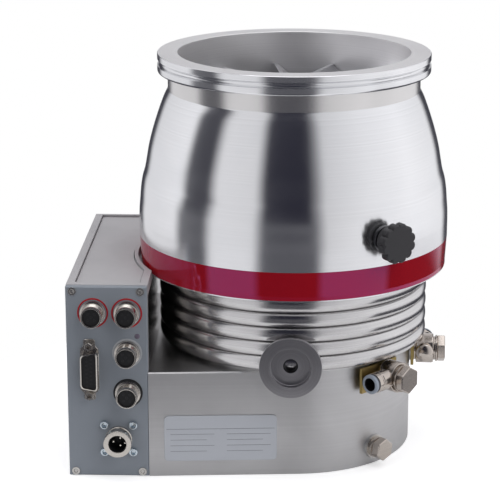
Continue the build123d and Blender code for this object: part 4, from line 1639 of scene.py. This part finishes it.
@dataclass
class RemoteConnector:
    """The D-shaped remote connector with its contacts and its two hexagon posts.

    Attributes:
        flange_thickness: thickness of its flange.
        shoulder: half the height of the flange's wide part.
        tab_share: width of the flange's end tabs as a share of the flange's.
        width: width of the shell.
        height: height of its long side.
        flare: slope of the shell's ends, in degrees.
        mouth: the opening's width and height as shares of the shell's.
        face: the insert's width and height as shares of the opening's.
        contact_rows: distance from the middle, and number of contacts, of each row.
        contact_pitch: distance from contact to contact.
        contact: (radius, height from the mouth) outline of a contact.
        post_spacing: distance between the posts.
        post_flats: width over the flats of a post.
        post: (share of the full width, height) steps of a post.
    """

    flange_thickness: float = 0.9
    shoulder: float = 13.9
    tab_share: float = 0.62
    width: float = 10.9
    height: float = 26.3
    flare: float = 10.0
    mouth: Point = (0.86, 0.94)
    face: Point = (0.97, 0.985)
    contact_rows: tuple[tuple[float, int], ...] = ((-1.4, 8), (1.4, 7))
    contact_pitch: float = 2.76
    contact: tuple[Point, ...] = ((0.72, -1.1), (0.72, -0.9), (0.4, -0.9), (0.4, -1.1))
    post_spacing: float = 33.3
    post_flats: float = 5.0
    post: tuple[Point, ...] = ((1, 0.9), (1, 5.2), (0.9, 5.5), (0.52, 5.5), (0.52, 1.5))

    def build(self) -> None:
        """Builds the shell, its face, the contacts and the posts."""
        low, high = node_box("remote_socket")
        reach = high.y - low.y
        place = on_panel("remote")
        shell = Shape("remote_shell")
        shell.push(self.flange(high - low), place, self.flange_thickness, 0.2)
        x, y = self.width / 2, self.height / 2
        narrowing = self.width * math.tan(math.radians(self.flare))
        outer = softened([(x, -y), (x, y), (-x, y - narrowing), (-x, -y + narrowing)], 2.6, 5)
        inner = [(x * self.mouth[0], y * self.mouth[1]) for x, y in outer]
        shell.shell([
            [place @ Vector((x, y, level)) for x, y in outline]
            for outline, level in ((outer, 0.8), (outer, reach - 0.3), (inner, reach), (inner, 1.0))
        ])
        shell.done(SOCKET_NICKEL, "socket_nickel", "remote_socket")
        face = Shape("remote_face")
        outline = [(x * self.face[0], y * self.face[1]) for x, y in inner]
        face.push(outline, along(place, self.flange_thickness), reach - 1.9, 0.2)
        face.done(BLACK_INSERT_AND_SHADE, "insert_black", "remote_insert")
        self.contacts(along(place, reach))
        self.posts(place)

    def flange(self, size: Vector) -> list[Point]:
        """Draws the flange with its narrower end tabs.

        Args:
            size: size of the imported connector.

        Returns:
            The flange's rounded outline.
        """
        half_width, half_height = size.x / 2 - 0.3, size.z / 2
        tab = half_width * self.tab_share
        quarter = [(half_width, self.shoulder), (tab, self.shoulder + 2.0), (tab, half_height)]
        upper = [*quarter, *((-x, y) for x, y in reversed(quarter))]
        return softened([*upper, *((-x, -y) for x, y in upper)], 1.6, 4)

    def contacts(self, mouth: Matrix) -> None:
        """Builds the rows of contacts.

        Args:
            mouth: the place in the middle of the opening.
        """
        wells = Shape("remote_contacts")
        for across, count in self.contact_rows:
            for index in range(count):
                level = (index - (count - 1) / 2) * self.contact_pitch
                wells.turn(self.contact, beside(mouth, across, level), 12)
        wells.done(WELL_PLASTIC, "insert_black")

    def posts(self, place: Matrix) -> None:
        """Builds the posts above and below the shell.

        Args:
            place: the connector's place on the panel.
        """
        corners = regular(6, self.post_flats / math.sqrt(3), math.pi / 6)
        posts = Shape("jack_post_nuts")
        for side in (-1, 1):
            post = beside(place, 0, side * self.post_spacing / 2)
            posts.shell([
                [post @ Vector((x * share, y * share, level)) for x, y in corners]
                for share, level in self.post
            ])
        posts.done(SOCKET_NICKEL, "steel", "jack_posts")


@dataclass
class PowerInlet:
    """The round power inlet with its pins, its key and its flange screws.

    Attributes:
        shell: (radius, height) outline of the shell.
        key: width, height and depth of the key in its mouth.
        floor: inner and outer radius, foot and top of its dark floor.
        shade_lining: (radius, height) outline of a thin black sheet inside the shell, painted shade in its bore.
        pins: number of pins.
        pin: (radius, height) outline of a pin.
        pin_circle: radius of the ring of pins.
        screw_offset: distance of the screws from the middle, across and up.
        screw_radius: radius of a screw's head.
        screw_height: height of a screw's head.
    """

    shell: tuple[Point, ...] = (
        (0.0, 1.0), (5.8, 1.0), (5.8, 12.0), (9.0, 12.0), (9.0, 8.6), (8.3, 8.2), (8.3, 4.4), (8.9, 4.0),
        (8.9, 3.0), (8.2, 2.7), (8.2, 0.0), (0.0, 0.0),
    )
    key: Place = (1.6, 1.0, 9.6)
    floor: tuple[float, float, float, float] = (0, 5.7, 1.1, 1.9)
    shade_lining: tuple[Point, ...] = ((5.72, 1.2), (5.78, 11.2), (5.5, 11.2), (5.5, 1.2))
    pins: int = 3
    pin: tuple[Point, ...] = ((0.8, 0.4), (0.8, 6.6), (0.5, 7.0), (0, 7.0))
    pin_circle: float = 2.9
    screw_offset: float = 9.25
    screw_radius: float = 2.9
    screw_height: float = 2.1

    def build(self) -> None:
        """Builds the inlet."""
        place = on_panel("power")
        key_width, key_height, key_depth = self.key
        barrel = Shape("power_inlet_shell")
        barrel.turn(self.shell, place, 80, closed=False, soft=0.35, steps=3)
        key = along(beside(place, 5.0, 0.5), 1.0)
        barrel.push(box_outline(key_width, key_height), key, key_depth, 0.2)
        barrel.done(SOCKET_NICKEL, "socket_nickel", "power_inlet")
        inside = Shape("power_inlet_floor_and_shade_lining")
        inside.turn(band_outline(*self.floor), place, 48, closed=False)
        # The thin black sheet inside the shell is painted shade in the bore; the floor is the black insert that
        # holds the pins
        inside.turn(self.shade_lining, place, 48)
        inside.done(BLACK_INSERT_AND_SHADE, "insert_black")
        pins = Shape("power_pins")
        for x, y in regular(self.pins, self.pin_circle, math.radians(60)):
            pins.turn(self.pin, beside(place, x, y), 20, closed=False)
        pins.done(PIN_GOLD, "pin_gold", "inlet_pins")
        screws = Shape("power_screws")
        offset = self.screw_offset
        for x, y in ((offset, offset), (-offset, offset), (-offset, -offset), (offset, -offset)):
            add_screw(screws, beside(place, x, y), self.screw_radius, self.screw_height)
        screws.done(BLUE_ZINC, "steel")


@dataclass
class StatusLamp:
    """The small lamp beside the sockets.

    Attributes:
        cap: (radius, height) outline of its cap.
    """

    cap: tuple[Point, ...] = ((1.75, 0), (1.75, 0.15), (1.5, 0.32), (0.8, 0.4), (0, 0.4))

    def build(self) -> None:
        """Builds the cap."""
        low, high = node_box("status_lamp")
        place = turned_to(Vector(((low.x + high.x) / 2, high.y, (low.z + high.z) / 2)), OUT_OF_PANEL)
        cap = Shape("status_lamp_cap")
        cap.turn(self.cap, place, 32, closed=False)
        cap.done(LAMP_PLASTIC, "lamp_grey", "status_lamp")


# ------------------------------------------------------------------ studio

# Brightness of the surroundings by direction, in degrees from the front towards +X:
# below the table's edge, at eye level, above it and overhead
SCREENS = (
    (
        (-180, 0.04), (-69, 0.05), (-64, 0.85), (-30, 0.85), (-24, 0.05), (18, 0.05), (24, 0.85), (73, 0.85),
        (79, 0.06), (180, 0.04),
    ),
    (
        (-180, 0.62), (-173, 0.62), (-167, 0.05), (-153, 0.05), (-144, 0.78), (-97, 0.86), (-90, 0.18),
        (-69, 0.12), (-61, 0.80), (-29, 0.74), (-21, 0.13), (17, 0.13), (26, 0.68), (60, 0.90), (100, 1.02),
        (144, 0.90), (153, 0.06), (167, 0.05), (173, 0.62), (180, 0.62),
    ),
    (
        (-180, 0.72), (-173, 0.72), (-167, 0.05), (-153, 0.05), (-144, 0.74), (-93, 0.92), (-86, 0.08),
        (-67, 0.05), (-58, 0.78), (-28, 0.72), (-20, 0.03), (12, 0.02), (18, 0.22), (25, 0.66), (60, 0.86),
        (100, 1.00), (144, 0.84), (153, 0.06), (167, 0.05), (173, 0.72), (180, 0.72),
    ),
    ((-180, 1.9), (180, 1.9)),
)
# Heights, as sines above the horizon, over which each layer of screens passes into the next
FADES = ((-0.33, -0.30), (-0.12, 0.0), (0.86, 0.95))
# What the screens' grey loses in red and green, and gains in blue
WARM_SHARE = 0.985
BLUE_LIFT = 0.012


@dataclass
class Studio:
    """The floor, the light and the camera.

    Attributes:
        focal: focal length for a 36 mm sensor.
        place: the camera's place in millimetres.
        pitch: how far it looks down, in degrees.
        yaw: how far it looks to the side, in degrees.
        shift: downward shift of the picture.
        floor_radius: radius of the floor in metres.
        floor_middle: its middle in metres, a little below the pump's foot.
        floor_grey: the floor's tone.
        floor_glow: how much the floor is lifted towards white for the camera.
        aim: the point in metres that the lamps look at.
        lamps: name, place and size in metres, and power in watts of each lamp.
    """

    focal: float = 138.1
    place: Place = (13.8, -1245.2, 486.6)
    pitch: float = 15.28
    yaw: float = -1.97
    shift: float = 0.05
    floor_radius: float = 0.235
    floor_middle: Place = (-0.03, 0.0, -0.0002)
    floor_grey: float = 0.80
    floor_glow: float = 0.45
    aim: Place = (0, 0, 0.13)
    lamps: tuple[tuple[str, Place, float, float], ...] = (
        ("key_screen", (0.9, -1.1, 1.5), 1.2, 8.0),
        ("side_screen", (-1.3, -0.5, 0.9), 1.0, 4.0),
        ("top_screen", (0.0, 0.3, 1.8), 1.4, 3.0),
    )

    def camera(self) -> None:
        """Sets up the camera."""
        data = bpy.data.cameras.new("studio_camera")
        data.sensor_width = 36.0
        data.lens = self.focal
        data.shift_y = -self.shift
        data.clip_start = 0.05
        camera = bpy.data.objects.new("studio_camera", data)
        bpy.context.scene.collection.objects.link(camera)
        camera.location = Vector(self.place) * MM
        camera.rotation_euler = (math.radians(90 - self.pitch), 0, math.radians(-self.yaw))
        bpy.context.scene.camera = camera

    def floor(self) -> None:
        """Builds the pale floor, which keeps the pump's shadow."""
        drawing = bmesh.new()
        bmesh.ops.create_circle(drawing, cap_ends=True, radius=self.floor_radius, segments=96)
        data = bpy.data.meshes.new("studio_floor")
        drawing.to_mesh(data)
        drawing.free()
        floor = bpy.data.objects.new("studio_floor", data)
        floor.location = self.floor_middle
        bpy.context.scene.collection.objects.link(floor)
        material = bpy.data.materials.new("studio_floor_paint")
        material.use_nodes = True
        tree = material.node_tree
        tree.nodes.clear()
        grey = (self.floor_grey, self.floor_grey, self.floor_grey, 1)
        paint = add_node(tree, "BsdfDiffuse", {"Color": grey}).outputs["BSDF"]
        seen = add_node(tree, "LightPath").outputs["Is Camera Ray"]
        strength = computed(tree, "MULTIPLY", seen, self.floor_glow)
        glow = add_node(tree, "Emission", {"Strength": strength}).outputs["Emission"]
        both = add_node(tree, "AddShader", {0: paint, 1: glow}).outputs["Shader"]
        add_node(tree, "OutputMaterial", {"Surface": both})
        data.materials.append(material)

    def sky(self) -> None:
        """Builds the surroundings: white for the camera, and bright screens with dark gaps for all else."""
        world = bpy.data.worlds.new("studio_surroundings")
        bpy.context.scene.world = world
        world.use_nodes = True
        tree = world.node_tree
        place = add_node(tree, "TexCoord").outputs["Generated"]
        split = add_node(tree, "SeparateXYZ", {"Vector": place}).outputs
        front = computed(tree, "MULTIPLY", split["Y"], -1.0)
        turn = computed(tree, "ARCTAN2", split["X"], front)
        share = mapped(tree, turn, (-math.pi, math.pi))
        colour, *upper = (self.screens(tree, share, stops) for stops in SCREENS)
        for layer, fade in zip(upper, FADES):
            colour = blended(tree, mapped(tree, split["Z"], fade, soft=True), colour, layer)
        seen = add_node(tree, "LightPath").outputs["Is Camera Ray"]
        tree.links.new(blended(tree, seen, colour, (1, 1, 1, 1)), tree.nodes["Background"].inputs["Color"])

    @staticmethod
    def screens(tree: Tree, share: Socket, stops: tuple[Point, ...]) -> Socket:
        """Builds one layer of screens, once round the studio.

        Args:
            tree: the world's node tree.
            share: the direction, from 0 to 1 once round.
            stops: (angle in degrees, brightness) pairs in rising order.

        Returns:
            The layer's colour.
        """
        ramp = add_node(tree, "ValToRGB", {"Fac": share})
        elements = ramp.color_ramp.elements
        while len(elements) > 1:
            elements.remove(elements[-1])
        for index, (angle, level) in enumerate(stops):
            place = (angle + 180) / 360
            element = elements[0] if index == 0 else elements.new(place)
            element.position = place
            element.color = (level * WARM_SHARE, level * WARM_SHARE, level + BLUE_LIFT, 1)
        return ramp.outputs["Color"]

    def lamp(self, name: str, place: Place, size: float, power: float) -> None:
        """Adds a soft lamp that looks at the pump.

        Args:
            name: name of the lamp.
            place: its place in metres.
            size: side of its square screen in metres.
            power: its power in watts.
        """
        data = bpy.data.lights.new(name, "AREA")
        data.shape = "SQUARE"
        data.size = size
        data.energy = power
        lamp = bpy.data.objects.new(name, data)
        lamp.location = place
        lamp.rotation_euler = (Vector(self.aim) - Vector(place)).to_track_quat("-Z", "Y").to_euler()
        lamp.visible_glossy = False
        bpy.context.scene.collection.objects.link(lamp)

    def build(self) -> None:
        """Builds the studio."""
        self.camera()
        self.floor()
        self.sky()
        for lamp in self.lamps:
            self.lamp(*lamp)
        bpy.context.scene.view_settings.view_transform = "Standard"


def main() -> None:
    """Builds the studio, then the pump's pieces in order."""
    logging.basicConfig(level=logging.INFO, format="%(name)s: %(message)s")
    assemblies = (
        Studio(), BellAndBand(), FinnedHousing(), RotorUnit(), ForelinePort(), VentValve(),
        *(CoolingFitting(side) for side in Side), BaseGroup(), DriveUnit(), RoundSockets(),
        RemoteConnector(), PowerInlet(), StatusLamp(),
    )
    for assembly in assemblies:
        assembly.build()


if __name__ == "__main__":
    main()
